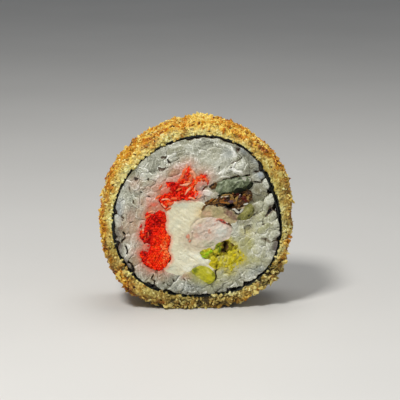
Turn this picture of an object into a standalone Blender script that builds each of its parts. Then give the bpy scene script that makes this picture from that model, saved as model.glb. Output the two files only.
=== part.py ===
"""One cut piece of a fried sushi roll, standing on its breaded rim.

The roll's axis runs along Y, and the cut face that shows is the one at -Y. Seen from the front,
X points right and Z points up. Every layer and filling is a closed solid of its own that runs
from the front face to the back face. Points of the cut face are (x, z) from the core's middle.
"""

import math
import random
from collections import namedtuple

import bmesh
import bpy
from mathutils import Matrix, Vector, noise
from mathutils.geometry import delaunay_2d_cdt

MM = 0.001

# The slice
DEPTH = 22.0 * MM
FRONT = -DEPTH / 2
BACK = DEPTH / 2
CORE_HEIGHT = 29.8 * MM
GAP = 0.3 * MM
SEED = 7

# The seaweed sheet, as rolled: a slightly sagged circle whose two ends overlap.
# A lobe is (waves round the circle, cosine part, sine part)
WRAP_CENTRE = Vector((0.2 * MM, -0.9 * MM))
WRAP_RADIUS = 26.2 * MM
WRAP_LOBES = ((2, 0.3 * MM, 0.0), (3, -0.3 * MM, -0.7 * MM), (4, -0.3 * MM, -0.2 * MM))
SHEET_LENGTH = 180.0 * MM
SHEET_THICKNESS = 0.4 * MM
SHEET_DIP = 0.75 * MM
SHEET_WAVE = 0.18 * MM
SHEET_START = math.radians(0)
SHEET_RISE = math.radians(9)
SHEET_OVERLAP = SHEET_LENGTH / WRAP_RADIUS - 2 * math.pi
SHEET_STEPS = 84

# The breaded coating. It is thicker low on the left, at the upper right and at the lower right:
# a bulge is (bearing, height, sharpness)
COATING = 2.7 * MM
BULGES = (
    (math.radians(-112), 1.5 * MM, 3),
    (math.radians(27), 1.8 * MM, 23),
    (math.radians(-41), 0.9 * MM, 40),
)
COATING_STEPS = 96
COATING_ROWS = 9
FACE_SHARES = (0.0, 0.36, 0.72)
RIM_ROUND = 0.6 * MM
RIM_CALM = 0.4
CRUMB_SWELL = 0.40 * MM
CRUMB_ROUGH = 0.36 * MM
CRUMB_CLUMP = 1.3 * MM
CUT_ROUGH = 0.28 * MM

# The rice: grains pressed into a core
GRAIN_LENGTH = 5.9 * MM
GRAIN_WIDTH = 2.9 * MM
GRAIN_SPREAD = 0.14
GRAIN_SIDES = 5
GRAIN_RINGS = ((-0.9, 0.6), (0.0, 1.0), (0.9, 0.6))
GRAIN_TILTS = (0.1, 0.25, 0.4, 0.9)
GRAIN_TRIES = 5200
GRAIN_SPACING = 0.76 * GRAIN_WIDTH
GRAIN_MARGIN = 0.36 * GRAIN_WIDTH
RICE_RECESS = 1.0 * MM
RICE_RISE = (-0.35 * MM, 0.25 * MM)
RICE_STEPS = 110
CUT_SOFTNESS = 0.35 * MM

# The roe: small round eggs
EGG_RADIUS = 0.68 * MM
EGG_SPACING = 1.5 * MM
EGG_SINK = 0.25 * MM
ROE_SWELL = 0.3 * MM
LOOSE_EGGS = 6
LOOSE_EGG_RISE = 0.55 * MM

# Everything else that is rolled in
OUTLINE_SPACING = 1.5 * MM
LATTICE_MARGIN = 0.42
FLAT_SPACING = 1.9 * MM
HOLLOW_SPACING = 1.25 * MM
RIPPLE = 4.0 * MM
ROE_RIPPLE = 5.0 * MM

# Outlines on the cut face, each a closed curve through (x, z) points in millimetres
ROE_SLAB = (
    (-15.5, 1.0), (-13.6, 0.7), (-11.4, 2.0), (-10.1, 0.6), (-9.9, -3.0), (-8.8, -7.0),
    (-9.0, -10.4), (-8.4, -13.4), (-10.3, -16.3), (-13.4, -16.7), (-16.2, -14.9), (-17.6, -11.8),
    (-16.4, -9.0), (-18.0, -5.2), (-15.9, -2.6),
)
ROE_CLUSTER = (
    (-9.4, 2.6), (-8.0, 5.0), (-4.4, 5.4), (-0.5, 5.6), (0.2, 7.6), (-1.0, 9.6), (1.4, 10.6),
    (3.0, 12.0), (1.2, 13.2), (-1.3, 12.3), (-2.3, 15.0), (-3.4, 15.4), (-4.3, 12.6), (-6.8, 10.9),
    (-9.6, 10.9), (-8.7, 8.0), (-11.4, 6.2), (-10.9, 3.8),
)
EEL_SLAB = (
    (5.7, 8.9), (6.6, 10.7), (10.2, 11.6), (14.4, 12.4), (16.5, 11.6), (15.6, 9.3), (11.6, 8.1),
    (7.2, 7.1),
)
EEL_FOLD = (
    (16.5, 3.7), (17.6, 2.2), (17.0, 0.3), (15.2, -1.1), (12.6, -1.1), (12.9, 0.1), (14.4, 1.5),
    (15.1, 3.2),
)
EEL_GLAZED = (
    (2.4, 4.2), (5.2, 5.9), (8.6, 6.7), (12.2, 7.6), (15.6, 8.3), (17.0, 6.4), (16.2, 4.4),
    (14.2, 3.2), (11.0, 2.3), (8.4, 3.4), (5.0, 3.7),
)
SHRIMP = (
    (-1.3, -2.7), (1.0, -0.9), (4.2, -0.3), (7.4, -1.2), (9.9, -2.6), (10.6, -5.0), (9.2, -7.3),
    (6.4, -8.4), (3.6, -9.6), (0.2, -9.8), (-2.4, -8.3), (-3.6, -6.4), (-2.1, -4.8),
)
EEL_FLESH = (
    (1.8, 1.8), (3.6, 3.2), (6.6, 3.8), (8.8, 3.8), (11.2, 3.4), (13.8, 3.0), (14.0, 0.4),
    (12.4, -1.2), (11.0, -2.2), (7.4, -3.2), (4.0, -2.4), (1.6, -2.4),
)
AVOCADO_UPPER = (
    (1.1, -11.2), (2.8, -10.4), (5.0, -10.6), (6.2, -8.8), (8.9, -7.9), (10.9, -9.0),
    (12.5, -11.6), (13.8, -14.2), (11.3, -15.0), (10.2, -17.0), (8.4, -15.2), (6.2, -17.1),
    (3.6, -15.3), (4.4, -14.1), (2.0, -12.9),
)
AVOCADO_LOWER = (
    (-1.5, -17.2), (0.6, -15.9), (3.0, -16.4), (5.2, -18.2), (5.3, -20.4), (3.6, -21.5),
    (1.2, -20.0), (-0.7, -18.6),
)
CREAM_CHEESE = (
    (-9.2, 3.0), (-7.4, 4.8), (-3.8, 4.8), (0.4, 4.6), (2.8, 3.4), (3.2, 1.0), (2.0, -2.0),
    (-0.5, -5.0), (-0.6, -8.6), (2.2, -11.4), (4.9, -14.6), (4.8, -17.2), (-1.2, -16.6),
    (-4.0, -18.6), (-8.0, -18.0), (-10.2, -16.2), (-8.9, -10.0), (-10.0, -2.0),
)

# Hollows in a cut face: (x, z, half width, half height, depth) in millimetres
EEL_HOLLOWS = ((10.3, 3.6, 1.7, 1.0, 1.6), (13.4, 6.4, 1.5, 0.8, 0.8), (5.2, 4.9, 1.0, 0.6, 0.6))
AVOCADO_HOLLOWS = ((8.2, -10.3, 1.6, 2.1, 1.9), (6.6, -14.9, 0.7, 1.3, 0.9))

# The fillings, each clear of those listed before it. A filling's face stands proud of the cut,
# and is uneven by amount
Filling = namedtuple("Filling", "outline colour roughness proud amount hollows")
ROE_RED = (0.90, 0.12, 0.02)
EEL_SKIN = (0.32, 0.36, 0.27)
EEL_BROWN = (0.36, 0.20, 0.08)
EEL_PALE = (0.62, 0.52, 0.36)
SHRIMP_PINK = (0.80, 0.66, 0.60)
AVOCADO_GREEN = (0.60, 0.62, 0.10)
CREAM = (0.88, 0.86, 0.76)
FILLINGS = {
    "roe_slab": Filling(ROE_SLAB, ROE_RED, 0.25, 0.0, 0.0, ()),
    "roe_cluster": Filling(ROE_CLUSTER, ROE_RED, 0.25, 0.0, 0.0, ()),
    "eel_slab": Filling(EEL_SLAB, EEL_SKIN, 0.3, 0.25 * MM, 0.30 * MM, ()),
    "eel_fold": Filling(EEL_FOLD, EEL_SKIN, 0.3, 0.10 * MM, 0.20 * MM, ()),
    "eel_glazed": Filling(EEL_GLAZED, EEL_BROWN, 0.3, 0.15 * MM, 0.50 * MM, EEL_HOLLOWS),
    "shrimp": Filling(SHRIMP, SHRIMP_PINK, 0.4, 0.35 * MM, 0.30 * MM, ()),
    "eel_flesh": Filling(EEL_FLESH, EEL_PALE, 0.4, 0.10 * MM, 0.25 * MM, ()),
    "avocado_upper": Filling(
        AVOCADO_UPPER, AVOCADO_GREEN, 0.5, 0.05 * MM, 0.40 * MM, AVOCADO_HOLLOWS
    ),
    "avocado_lower": Filling(AVOCADO_LOWER, AVOCADO_GREEN, 0.4, 0.10 * MM, 0.15 * MM, ()),
    "cream_cheese": Filling(CREAM_CHEESE, CREAM, 0.5, 0.15 * MM, 0.22 * MM, ()),
}
COATING_GOLD = (0.80, 0.55, 0.22)
SEAWEED_BLACK = (0.02, 0.025, 0.02)
RICE_WHITE = (0.78, 0.77, 0.70)


def clear_scene():
    for obj in list(bpy.data.objects):
        bpy.data.objects.remove(obj, do_unlink=True)


def food_material(name, colour, roughness):
    made = bpy.data.materials.new(name)
    made.use_nodes = True
    shader = made.node_tree.nodes["Principled BSDF"]
    shader.inputs["Base Color"].default_value = (*colour, 1.0)
    shader.inputs["Roughness"].default_value = roughness
    shader.inputs["Metallic"].default_value = 0.0
    made.diffuse_color = (*colour, 1.0)
    return made


def add_object(name, made, food=None):
    """Puts a bmesh in the scene as a named object, with the core's middle at its own height."""
    bmesh.ops.recalc_face_normals(made, faces=made.faces)
    mesh = bpy.data.meshes.new(name)
    made.to_mesh(mesh)
    made.free()
    obj = bpy.data.objects.new(name, mesh)
    obj.location.z = CORE_HEIGHT
    if food:
        mesh.materials.append(food)
    bpy.context.scene.collection.objects.link(obj)
    return obj


def smoothstep(x):
    x = min(1.0, max(0.0, x))
    return x * x * (3 - 2 * x)


# The sheet's rolled shape

def wrap_radius(angle):
    """Distance from the wrap's centre to the middle of the sheet's outer turn."""
    lobes = (c * math.cos(k * angle) + s * math.sin(k * angle) for k, c, s in WRAP_LOBES)
    return WRAP_RADIUS + sum(lobes)


def wrap_point(angle, inward):
    """The face point on that bearing, this far inside the sheet's middle."""
    return WRAP_CENTRE + (wrap_radius(angle) - inward) * Vector((math.cos(angle), math.sin(angle)))


def sheet_dip(turned):
    """How far the sheet's inner end lies inside its outer turn, this far round from the end."""
    return SHEET_DIP * (1 - smoothstep((turned - SHEET_OVERLAP) / SHEET_RISE))


def rice_inset(angle):
    """How far the rice keeps inside the sheet's middle, with room for the overlapping end."""
    turned = (angle - SHEET_START + SHEET_RISE) % (2 * math.pi) - SHEET_RISE
    dip = sheet_dip(turned) * smoothstep(1 + turned / SHEET_RISE)
    return SHEET_THICKNESS / 2 + GAP + dip


def inside_wrap(point):
    """The point itself, or the nearest one on its bearing that the rice can reach."""
    offset = point - WRAP_CENTRE
    angle = math.atan2(offset.y, offset.x)
    edge = wrap_radius(angle) - rice_inset(angle)
    return point if offset.length <= edge else WRAP_CENTRE + offset * edge / offset.length


# Flat outlines

def closed_curve(points_mm):
    """A smooth closed curve through the points, as a polygon with even corners."""
    points = [Vector(p) * MM for p in points_mm]
    count = len(points)
    polygon = []
    for i in range(count):
        before, start, end, after = (points[(i + k) % count] for k in (-1, 0, 1, 2))
        steps = max(2, round((end - start).length / OUTLINE_SPACING))
        for step in range(steps):
            t = step / steps
            polygon.append(
                0.5 * (2 * start + (end - before) * t
                       + (2 * before - 5 * start + 4 * end - after) * t * t
                       + (3 * start - before - 3 * end + after) * t ** 3)
            )
    return polygon


def grown(polygon, by):
    """The polygon with each corner moved outwards along its own normal."""
    area = sum(a.x * b.y - b.x * a.y for a, b in zip(polygon, polygon[1:] + polygon[:1]))
    side = math.copysign(1.0, area)
    moved = []
    for i, point in enumerate(polygon):
        along = polygon[(i + 1) % len(polygon)] - polygon[i - 1]
        moved.append(point + Vector((along.y, -along.x)).normalized() * by * side)
    return moved


def holds(polygon, point):
    """Whether the point is inside the polygon, by counting the sides that a ray crosses."""
    inside = False
    for a, b in zip(polygon, polygon[1:] + polygon[:1]):
        if (a.y > point.y) != (b.y > point.y):
            if point.x < a.x + (point.y - a.y) * (b.x - a.x) / (b.y - a.y):
                inside = not inside
    return inside


def clearance(polygon, point):
    """Distance from the point to the nearest side."""
    nearest = math.inf
    for a, b in zip(polygon, polygon[1:] + polygon[:1]):
        side = b - a
        t = min(1.0, max(0.0, (point - a).dot(side) / side.length_squared))
        nearest = min(nearest, (a + side * t - point).length)
    return nearest


def lattice(polygon, spacing, draw, jitter):
    """Hexagonal points inside the polygon, each moved a little at random."""
    low = Vector((min(p.x for p in polygon), min(p.y for p in polygon)))
    high = Vector((max(p.x for p in polygon), max(p.y for p in polygon)))
    rise = spacing * math.sqrt(3) / 2
    points = []
    for row in range(int((high.y - low.y) / rise) + 2):
        for column in range(int((high.x - low.x) / spacing) + 2):
            point = low + Vector(((column + 0.5 * (row % 2)) * spacing, row * rise))
            point += Vector((draw.uniform(-1, 1), draw.uniform(-1, 1))) * jitter * spacing
            if holds(polygon, point) and clearance(polygon, point) > LATTICE_MARGIN * spacing:
                points.append(point)
    return points


def flat_region(outline, keep_out, inner_points):
    """Triangles that fill the outline less the polygons to keep out of: (points, triangles)."""
    points, edges = [], []
    for loop in [outline, *keep_out]:
        first = len(points)
        points += loop
        edges += [(first + i, first + (i + 1) % len(loop)) for i in range(len(loop))]
    points += inner_points
    found, _, faces, *_ = delaunay_2d_cdt(points, edges, [], 0, 1e-7)
    wanted = []
    for face in faces:
        middle = sum((found[i] for i in face), Vector((0.0, 0.0))) / 3
        if holds(outline, middle) and not any(holds(loop, middle) for loop in keep_out):
            wanted.append(face)
    return found, largest_patch(wanted)


def largest_patch(faces):
    """The biggest set of triangles that meet edge to edge."""
    by_edge = {}
    for index, face in enumerate(faces):
        for i in range(3):
            by_edge.setdefault(frozenset((face[i], face[i - 1])), []).append(index)
    unseen, best = set(range(len(faces))), []
    while unseen:
        patch, queue = [], [unseen.pop()]
        while queue:
            index = queue.pop()
            patch.append(index)
            for i in range(3):
                for other in by_edge[frozenset((faces[index][i], faces[index][i - 1]))]:
                    if other in unseen:
                        unseen.remove(other)
                        queue.append(other)
        best = max(best, patch, key=len)
    return [faces[i] for i in best]


def through_solid(points, faces, front, back):
    """A closed solid over a flat region, with its ends at the depths front(p) and back(p)."""
    made = bmesh.new()
    used = sorted({i for face in faces for i in face})
    near = {i: made.verts.new((points[i].x, front(points[i]), points[i].y)) for i in used}
    far = {i: made.verts.new((points[i].x, back(points[i]), points[i].y)) for i in used}
    rim = {}
    for face in faces:
        made.faces.new([near[i] for i in face])
        made.faces.new([far[i] for i in reversed(face)])
        for a, b in zip(face, face[1:] + face[:1]):
            if rim.pop((b, a), None) is None:
                rim[(a, b)] = True
    for a, b in rim:
        made.faces.new((near[b], near[a], far[a], far[b]))
    return made


# Relief on the cut faces

def ripple(point, size, shift):
    """Soft unevenness between -1 and 1 over bumps of about this size."""
    return noise.noise(Vector((point.x / size, point.y / size, shift)))


def hollow_depth(point, hollows):
    """How deep the hollows are at the point."""
    deepest = 0.0
    for x, z, half_width, half_height, depth in hollows:
        reach = math.hypot((point.x / MM - x) / half_width, (point.y / MM - z) / half_height)
        deepest = max(deepest, depth * MM * (1 - smoothstep(reach)))
    return deepest


def food_end(side, food):
    """The depth of a filling's cut face: side is -1 at the front and 1 at the back."""
    def depth(point):
        height = food.proud + food.amount * ripple(point, RIPPLE, 3.7 * side)
        return side * (DEPTH / 2 + height - hollow_depth(point, food.hollows))
    return depth


def roe_end(side, eggs):
    """The depth of a cut face covered with eggs side by side."""
    def depth(point):
        nearest = min((point - egg).length for egg in eggs)
        bump = math.sqrt(max(0.0, EGG_RADIUS ** 2 - nearest ** 2))
        swell = ROE_SWELL * ripple(point, ROE_RIPPLE, 8.1 * side)
        return side * (DEPTH / 2 - EGG_SINK + bump + swell)
    return depth


def flat_end(depth):
    return lambda point: depth


# Boolean joining and cutting

def run_boolean(base, operation, pieces):
    """Joins the pieces to the base or cuts them out of it, and removes them."""
    group = bpy.data.collections.new("pieces")
    bpy.context.scene.collection.children.link(group)
    for piece in pieces:
        group.objects.link(piece)
        bpy.context.scene.collection.objects.unlink(piece)
    boolean = base.modifiers.new("boolean", "BOOLEAN")
    boolean.operation = operation
    boolean.operand_type = "COLLECTION"
    boolean.collection = group
    boolean.solver = "MANIFOLD"
    bpy.context.view_layer.update()
    result = bmesh.new()
    result.from_mesh(base.evaluated_get(bpy.context.evaluated_depsgraph_get()).to_mesh())
    base.modifiers.remove(boolean)
    drop_scraps(result)
    result.to_mesh(base.data)
    result.free()
    for piece in pieces:
        bpy.data.objects.remove(piece, do_unlink=True)
    bpy.data.collections.remove(group)


def drop_scraps(made):
    """Deletes every separate body but the one with the most faces."""
    unseen, bodies = set(made.faces), []
    while unseen:
        body, queue = [], [unseen.pop()]
        while queue:
            face = queue.pop()
            body.append(face)
            for edge in face.edges:
                for other in edge.link_faces:
                    if other in unseen:
                        unseen.remove(other)
                        queue.append(other)
        bodies.append(body)
    bodies.sort(key=len)
    scraps = [face for body in bodies[:-1] for face in body]
    bmesh.ops.delete(made, geom=scraps, context="FACES")


# The seaweed and the coating

def seaweed():
    """The sheet, rolled once round the rice with its ends overlapping."""
    made = bmesh.new()
    rows = []
    for step in range(SHEET_STEPS + 1):
        turned = (2 * math.pi + SHEET_OVERLAP) * step / SHEET_STEPS
        angle = SHEET_START + turned
        around = Vector((math.cos(angle) * 5, math.sin(angle) * 5, turned))
        wave = SHEET_WAVE * noise.noise(around)
        row = []
        for half, end in ((1, FRONT), (-1, FRONT), (-1, BACK), (1, BACK)):
            point = wrap_point(angle, sheet_dip(turned) + half * SHEET_THICKNESS / 2)
            row.append(made.verts.new((point.x, end + wave, point.y)))
        rows.append(row)
    for first, second in zip(rows, rows[1:]):
        for i in range(4):
            made.faces.new((first[i], first[(i + 1) % 4], second[(i + 1) % 4], second[i]))
    made.faces.new(rows[0])
    made.faces.new(reversed(rows[-1]))
    return add_object("seaweed", made, food_material("seaweed", SEAWEED_BLACK, 0.5))


def coating_radius(angle):
    """Distance from the wrap's centre to the smooth outside of the coating, before its crumbs."""
    bulge = sum(h * max(0.0, math.cos(angle - bearing)) ** n for bearing, h, n in BULGES)
    return wrap_radius(angle) + SHEET_THICKNESS / 2 + GAP + COATING + bulge


def crumb_height(angle, y, draw):
    """Relief of the crumbs: a slow swell, rough grains, and clumps, the largest underneath."""
    place = Vector((math.cos(angle), math.sin(angle), y / WRAP_RADIUS))
    swell = CRUMB_SWELL * noise.noise(place * 4)
    rough = CRUMB_ROUGH * draw.uniform(-1, 1)
    low = smoothstep(-math.sin(angle) * 1.4 - 0.3)
    lump = max(0.0, noise.noise(place * 11 + Vector((9, 3, 5))) - 0.1)
    calm = RIM_CALM if abs(y) > DEPTH / 2 - 2 * RIM_ROUND else 1.0
    return calm * (swell + rough + CRUMB_CLUMP * (0.3 + 0.7 * low) * lump)


def coating_profile():
    """The ring's section as (share of its thickness, depth), out at the front and in at the back."""
    row_depth = (DEPTH - 2 * RIM_ROUND) / COATING_ROWS
    outside = [(1.0, FRONT + RIM_ROUND + row_depth * row) for row in range(COATING_ROWS + 1)]
    front = [(share, FRONT) for share in FACE_SHARES]
    back = [(share, BACK) for share in reversed(FACE_SHARES)]
    return front + outside + back


def coating_corner(step, share, y, draw):
    """One corner of the coating's mesh, moved at random unless it is on the inner side."""
    turn = draw.uniform(-0.3, 0.3) if share > 0 else 0.0
    angle = 2 * math.pi * (step + turn) / COATING_STEPS
    radius = wrap_radius(angle) + SHEET_THICKNESS / 2 + GAP
    radius += share * (coating_radius(angle) - radius)
    if share == 1.0:
        radius += crumb_height(angle, y, draw)
    elif share > 0:
        y += draw.uniform(-1, 1) * CUT_ROUGH
    x, z = WRAP_CENTRE + radius * Vector((math.cos(angle), math.sin(angle)))
    return x, y, max(z, -CORE_HEIGHT)


def coating():
    """The breadcrumb coating: a craggy ring, flattened where it stands."""
    made = bmesh.new()
    draw = random.Random(SEED)
    profile = coating_profile()
    rows = [
        [made.verts.new(coating_corner(step, share, y, draw)) for share, y in profile]
        for step in range(COATING_STEPS)
    ]
    for i, first in enumerate(rows):
        second = rows[(i + 1) % len(rows)]
        for j in range(len(profile)):
            k = (j + 1) % len(profile)
            corners = [first[j], first[k], second[k], second[j]]
            if (i + j) % 2:
                corners = corners[1:] + corners[:1]
            made.faces.new(corners[:3])
            made.faces.new((corners[0], corners[2], corners[3]))
    return add_object("coating", made, food_material("coating", COATING_GOLD, 0.85))


# The rice

def soft_cut(height):
    """Flattens what stands above the cut, which never passes CUT_SOFTNESS."""
    return height if height <= 0 else CUT_SOFTNESS * (1 - math.exp(-height / CUT_SOFTNESS))


def grain(centre, along, size, side):
    """One cooked grain with few sides, flattened by the knife at the front or the back."""
    made = bmesh.new()
    length, width = GRAIN_LENGTH * size, GRAIN_WIDTH * size
    rings = []
    for place, girth in GRAIN_RINGS:
        ring = []
        for i in range(GRAIN_SIDES):
            turn = 2 * math.pi * i / GRAIN_SIDES
            across = girth * width / 2 * Vector((math.cos(turn), math.sin(turn)))
            ring.append(made.verts.new((place * length / 2, across.x, across.y)))
        rings.append(ring)
    for lower, upper in zip(rings, rings[1:]):
        for i in range(GRAIN_SIDES):
            j = (i + 1) % GRAIN_SIDES
            made.faces.new((lower[i], lower[j], upper[j], upper[i]))
    made.faces.new(rings[0])
    made.faces.new(rings[-1])
    turn = along.to_track_quat("X", "Z").to_matrix().to_4x4()
    bmesh.ops.transform(made, matrix=Matrix.Translation(centre) @ turn, verts=made.verts)
    bmesh.ops.triangulate(made, faces=made.faces)
    for vert in made.verts:
        height = soft_cut(side * vert.co.y - DEPTH / 2)
        x, z = inside_wrap(vert.co.xz)
        vert.co = (x, side * (DEPTH / 2 + height), z)
    return made


def line_gap(first, second):
    """Least distance between two grains' middle lines, each given by its two ends."""
    return min(
        (first[0].lerp(first[1], i / 3) - second[0].lerp(second[1], j / 3)).length
        for i in range(4)
        for j in range(4)
    )


def grain_fits(ends, placed, fillings):
    """Whether a grain with these ends keeps inside the sheet and off fillings and grains."""
    if any(inside_wrap(end) != end for end in ends):
        return False
    places = (*ends, ends[0].lerp(ends[1], 0.5))
    for polygon in fillings:
        if any(holds(polygon, p) or clearance(polygon, p) < GRAIN_MARGIN for p in places):
            return False
    return all(line_gap(ends, other) >= GRAIN_SPACING for other in placed)


def scatter_grains(draw, side, fillings):
    """Grains spread evenly over one cut face of the rice, off the fillings."""
    placed, objects = [], []
    for _ in range(GRAIN_TRIES):
        middle = Vector((draw.uniform(-1, 1), draw.uniform(-1, 1))) * WRAP_RADIUS + WRAP_CENTRE
        size = 1 + draw.uniform(-GRAIN_SPREAD, GRAIN_SPREAD)
        bearing = draw.uniform(0, math.pi)
        tilt = draw.choice(GRAIN_TILTS) * draw.choice((-1, 1))
        flat = Vector((math.cos(bearing), math.sin(bearing))) * math.cos(tilt)
        half = flat * (GRAIN_LENGTH - GRAIN_WIDTH) * size / 2
        ends = (middle - half, middle + half)
        if grain_fits(ends, placed, fillings):
            placed.append(ends)
            rise = draw.uniform(*RICE_RISE)
            centre = Vector((middle.x, side * (DEPTH / 2 - RICE_RECESS + rise), middle.y))
            along = Vector((flat.x, math.sin(tilt), flat.y))
            objects.append(add_object("grain", grain(centre, along, size, side)))
    return objects


def rice(fillings):
    """The rice: a core with the grains of both cut faces fused on, and room for the fillings."""
    outline = []
    for step in range(RICE_STEPS):
        angle = 2 * math.pi * step / RICE_STEPS
        outline.append(wrap_point(angle, rice_inset(angle)))
    recess = DEPTH / 2 - RICE_RECESS
    core = through_solid(*flat_region(outline, [], []), flat_end(-recess), flat_end(recess))
    base = add_object("rice", core, food_material("rice", RICE_WHITE, 0.4))
    draw = random.Random(SEED)
    grains = scatter_grains(draw, -1, fillings) + scatter_grains(draw, 1, fillings)
    run_boolean(base, "UNION", grains)
    for polygon in fillings:
        region = flat_region(grown(polygon, GAP), [], [])
        room = add_object("room", through_solid(*region, flat_end(-DEPTH), flat_end(DEPTH)))
        run_boolean(base, "DIFFERENCE", [room])
    return base


# The fillings

def soft_filling(name, food, polygon, keep_out):
    """A filling with gently uneven ends, clear of the pieces that it keeps out of."""
    spacing = HOLLOW_SPACING if food.hollows else FLAT_SPACING
    inner = lattice(polygon, spacing, random.Random(name), jitter=0.16)
    region = flat_region(polygon, [grown(p, GAP) for p in keep_out], inner)
    made = through_solid(*region, food_end(-1, food), food_end(1, food))
    return add_object(name, made, food_material(name, food.colour, food.roughness))


def loose_egg(egg, side, draw):
    """One egg on top of the roe."""
    made = bmesh.new()
    bmesh.ops.create_icosphere(made, subdivisions=1, radius=EGG_RADIUS)
    shift = Vector((draw.uniform(-1, 1), draw.uniform(-1, 1))) * EGG_RADIUS / 2
    place = (egg.x + shift.x, side * (DEPTH / 2 + LOOSE_EGG_RISE), egg.y + shift.y)
    bmesh.ops.translate(made, vec=place, verts=made.verts)
    return add_object("egg", made)


def roe(name, food, polygon, keep_out):
    """A heap of roe: its cut faces are domed with eggs, and a few eggs lie loose on top."""
    draw = random.Random(name)
    eggs = lattice(polygon, EGG_SPACING, draw, jitter=0.1)
    rise = EGG_SPACING / math.sqrt(3)
    valleys = [egg + Vector((0, rise * way)) for egg in eggs for way in (-1, 1)]
    margin = 0.3 * EGG_SPACING
    valleys = [v for v in valleys if holds(polygon, v) and clearance(polygon, v) > margin]
    region = flat_region(polygon, [grown(p, GAP) for p in keep_out], eggs + valleys)
    made = through_solid(*region, roe_end(-1, eggs), roe_end(1, eggs))
    base = add_object(name, made, food_material(name, food.colour, food.roughness))
    roomy = [egg for egg in eggs if clearance(polygon, egg) > 2 * EGG_RADIUS]
    loose = [
        loose_egg(egg, side, draw)
        for side in (-1, 1)
        for egg in draw.sample(roomy, min(LOOSE_EGGS, len(roomy)))
    ]
    run_boolean(base, "UNION", loose)
    return base


def centre_over_origin():
    """Shifts every piece sideways together, so that the whole stands centred over the origin."""
    bpy.context.view_layer.update()
    pieces = list(bpy.data.objects)
    corners = [
        piece.matrix_world @ vert.co for piece in pieces for vert in piece.data.vertices
    ]
    for axis in (0, 1):
        low = min(corner[axis] for corner in corners)
        high = max(corner[axis] for corner in corners)
        for piece in pieces:
            piece.location[axis] -= (low + high) / 2


def build():
    clear_scene()
    curves = {name: closed_curve(food.outline) for name, food in FILLINGS.items()}
    coating()
    seaweed()
    rice(list(curves.values()))
    done = []
    for name, food in FILLINGS.items():
        make = roe if name.startswith("roe") else soft_filling
        make(name, food, curves[name], done)
        done.append(curves[name])
    centre_over_origin()


build()
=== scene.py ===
"""Looks of one cut piece of a fried sushi roll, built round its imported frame.

Shapes are worked out in millimetres as (u, y, v): right, back and up from the core's middle, which
is where the frame's CORE stands. The roll's axis is y, and the camera sees the cut face at -y.
"""

import math
from collections import namedtuple

import bpy
import numpy as np
from mathutils import Matrix, Vector
from mathutils.bvhtree import BVHTree
from mathutils.geometry import delaunay_2d_cdt
from mathutils.kdtree import KDTree


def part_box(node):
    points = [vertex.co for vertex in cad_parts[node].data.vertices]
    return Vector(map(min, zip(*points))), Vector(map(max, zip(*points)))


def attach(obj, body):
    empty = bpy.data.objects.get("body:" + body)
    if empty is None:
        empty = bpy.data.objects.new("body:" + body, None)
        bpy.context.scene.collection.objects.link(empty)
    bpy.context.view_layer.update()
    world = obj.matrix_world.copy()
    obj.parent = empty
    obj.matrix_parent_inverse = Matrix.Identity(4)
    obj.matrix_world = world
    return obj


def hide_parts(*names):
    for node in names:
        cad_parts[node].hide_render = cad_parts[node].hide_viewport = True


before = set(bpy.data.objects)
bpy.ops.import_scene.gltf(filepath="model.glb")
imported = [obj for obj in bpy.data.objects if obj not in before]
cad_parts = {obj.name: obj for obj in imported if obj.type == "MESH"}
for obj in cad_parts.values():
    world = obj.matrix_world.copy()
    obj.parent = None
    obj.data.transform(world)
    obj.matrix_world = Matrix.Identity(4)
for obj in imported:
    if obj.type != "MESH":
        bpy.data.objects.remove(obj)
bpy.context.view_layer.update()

MM = 0.001  # The lengths below are in millimetres unless they say otherwise

# The core's middle in the frame, from where the lower avocado piece lies, and half of the
# slice's depth
LANDMARK, LANDMARK_LOW = ("avocado_lower", (-1.5, -21.5))
CORE = np.array((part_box(LANDMARK)[0].x / MM - LANDMARK_LOW[0], 0.0,
                 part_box(LANDMARK)[0].z / MM - LANDMARK_LOW[1])) * MM
HALF_DEPTH = 11.0
FLOOR_V = -CORE[2] / MM

# The rolled seaweed sheet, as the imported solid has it
WRAP_CENTRE = np.array((0.2, -0.9))
WRAP_RADIUS = 26.2
# Its outline's departures from a circle: (lobes, cosine's share, sine's share)
WRAP_LOBES = ((2, 0.3, 0), (3, -0.3, -0.7), (4, -0.3, -0.2))
# The sheet's length and half of its thickness, and how far in and over what angle it dips under
# its outer end
SHEET_LENGTH = 180.0
SHEET_HALF = 0.2
SHEET_DIP = 0.75
SHEET_RISE = math.radians(9)
SHEET_OVERLAP = SHEET_LENGTH / WRAP_RADIUS - 2 * math.pi

# How steep the tops of scattered cells are
CELL_TILT = 1.3


# Randomness and noise, worked out for many points at once

def hashed(cell, seed):
    """An even random number from 0 to 1 for each whole-number cell."""
    n = cell[..., 0] * 73856093 ^ cell[..., 1] * 19349663 ^ cell[..., 2] * 83492791
    n = (n ^ np.int64(seed * 374761393 + 668265263)) & 0xFFFFFFFF
    n = ((n ^ (n >> 15)) * 2246822519) & 0xFFFFFFFF
    n = ((n ^ (n >> 13)) * 3266489917) & 0xFFFFFFFF
    return ((n ^ (n >> 16)) & 0xFFFFFF) / float(0x1000000)


def noise(points, size, seed=0):
    """Smooth noise between -1 and 1, with bumps of about this size."""
    q = np.asarray(points) / size
    cell = np.floor(q).astype(np.int64)
    f = q - cell
    f = f * f * f * (f * (f * 6 - 15) + 10)
    total = 0.0
    for corner in np.ndindex(2, 2, 2):
        c = np.array(corner)
        total = total + np.prod(np.where(c, f, 1 - f), axis=-1) * hashed(cell + c, seed)
    return total * 2 - 1


def waves(points, rows, level=0.0):
    """A level with noise added, in rows of (amount, size, seed)."""
    for amount, size, seed in rows:
        level = level + amount * noise(points, size, seed)
    return level


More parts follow.
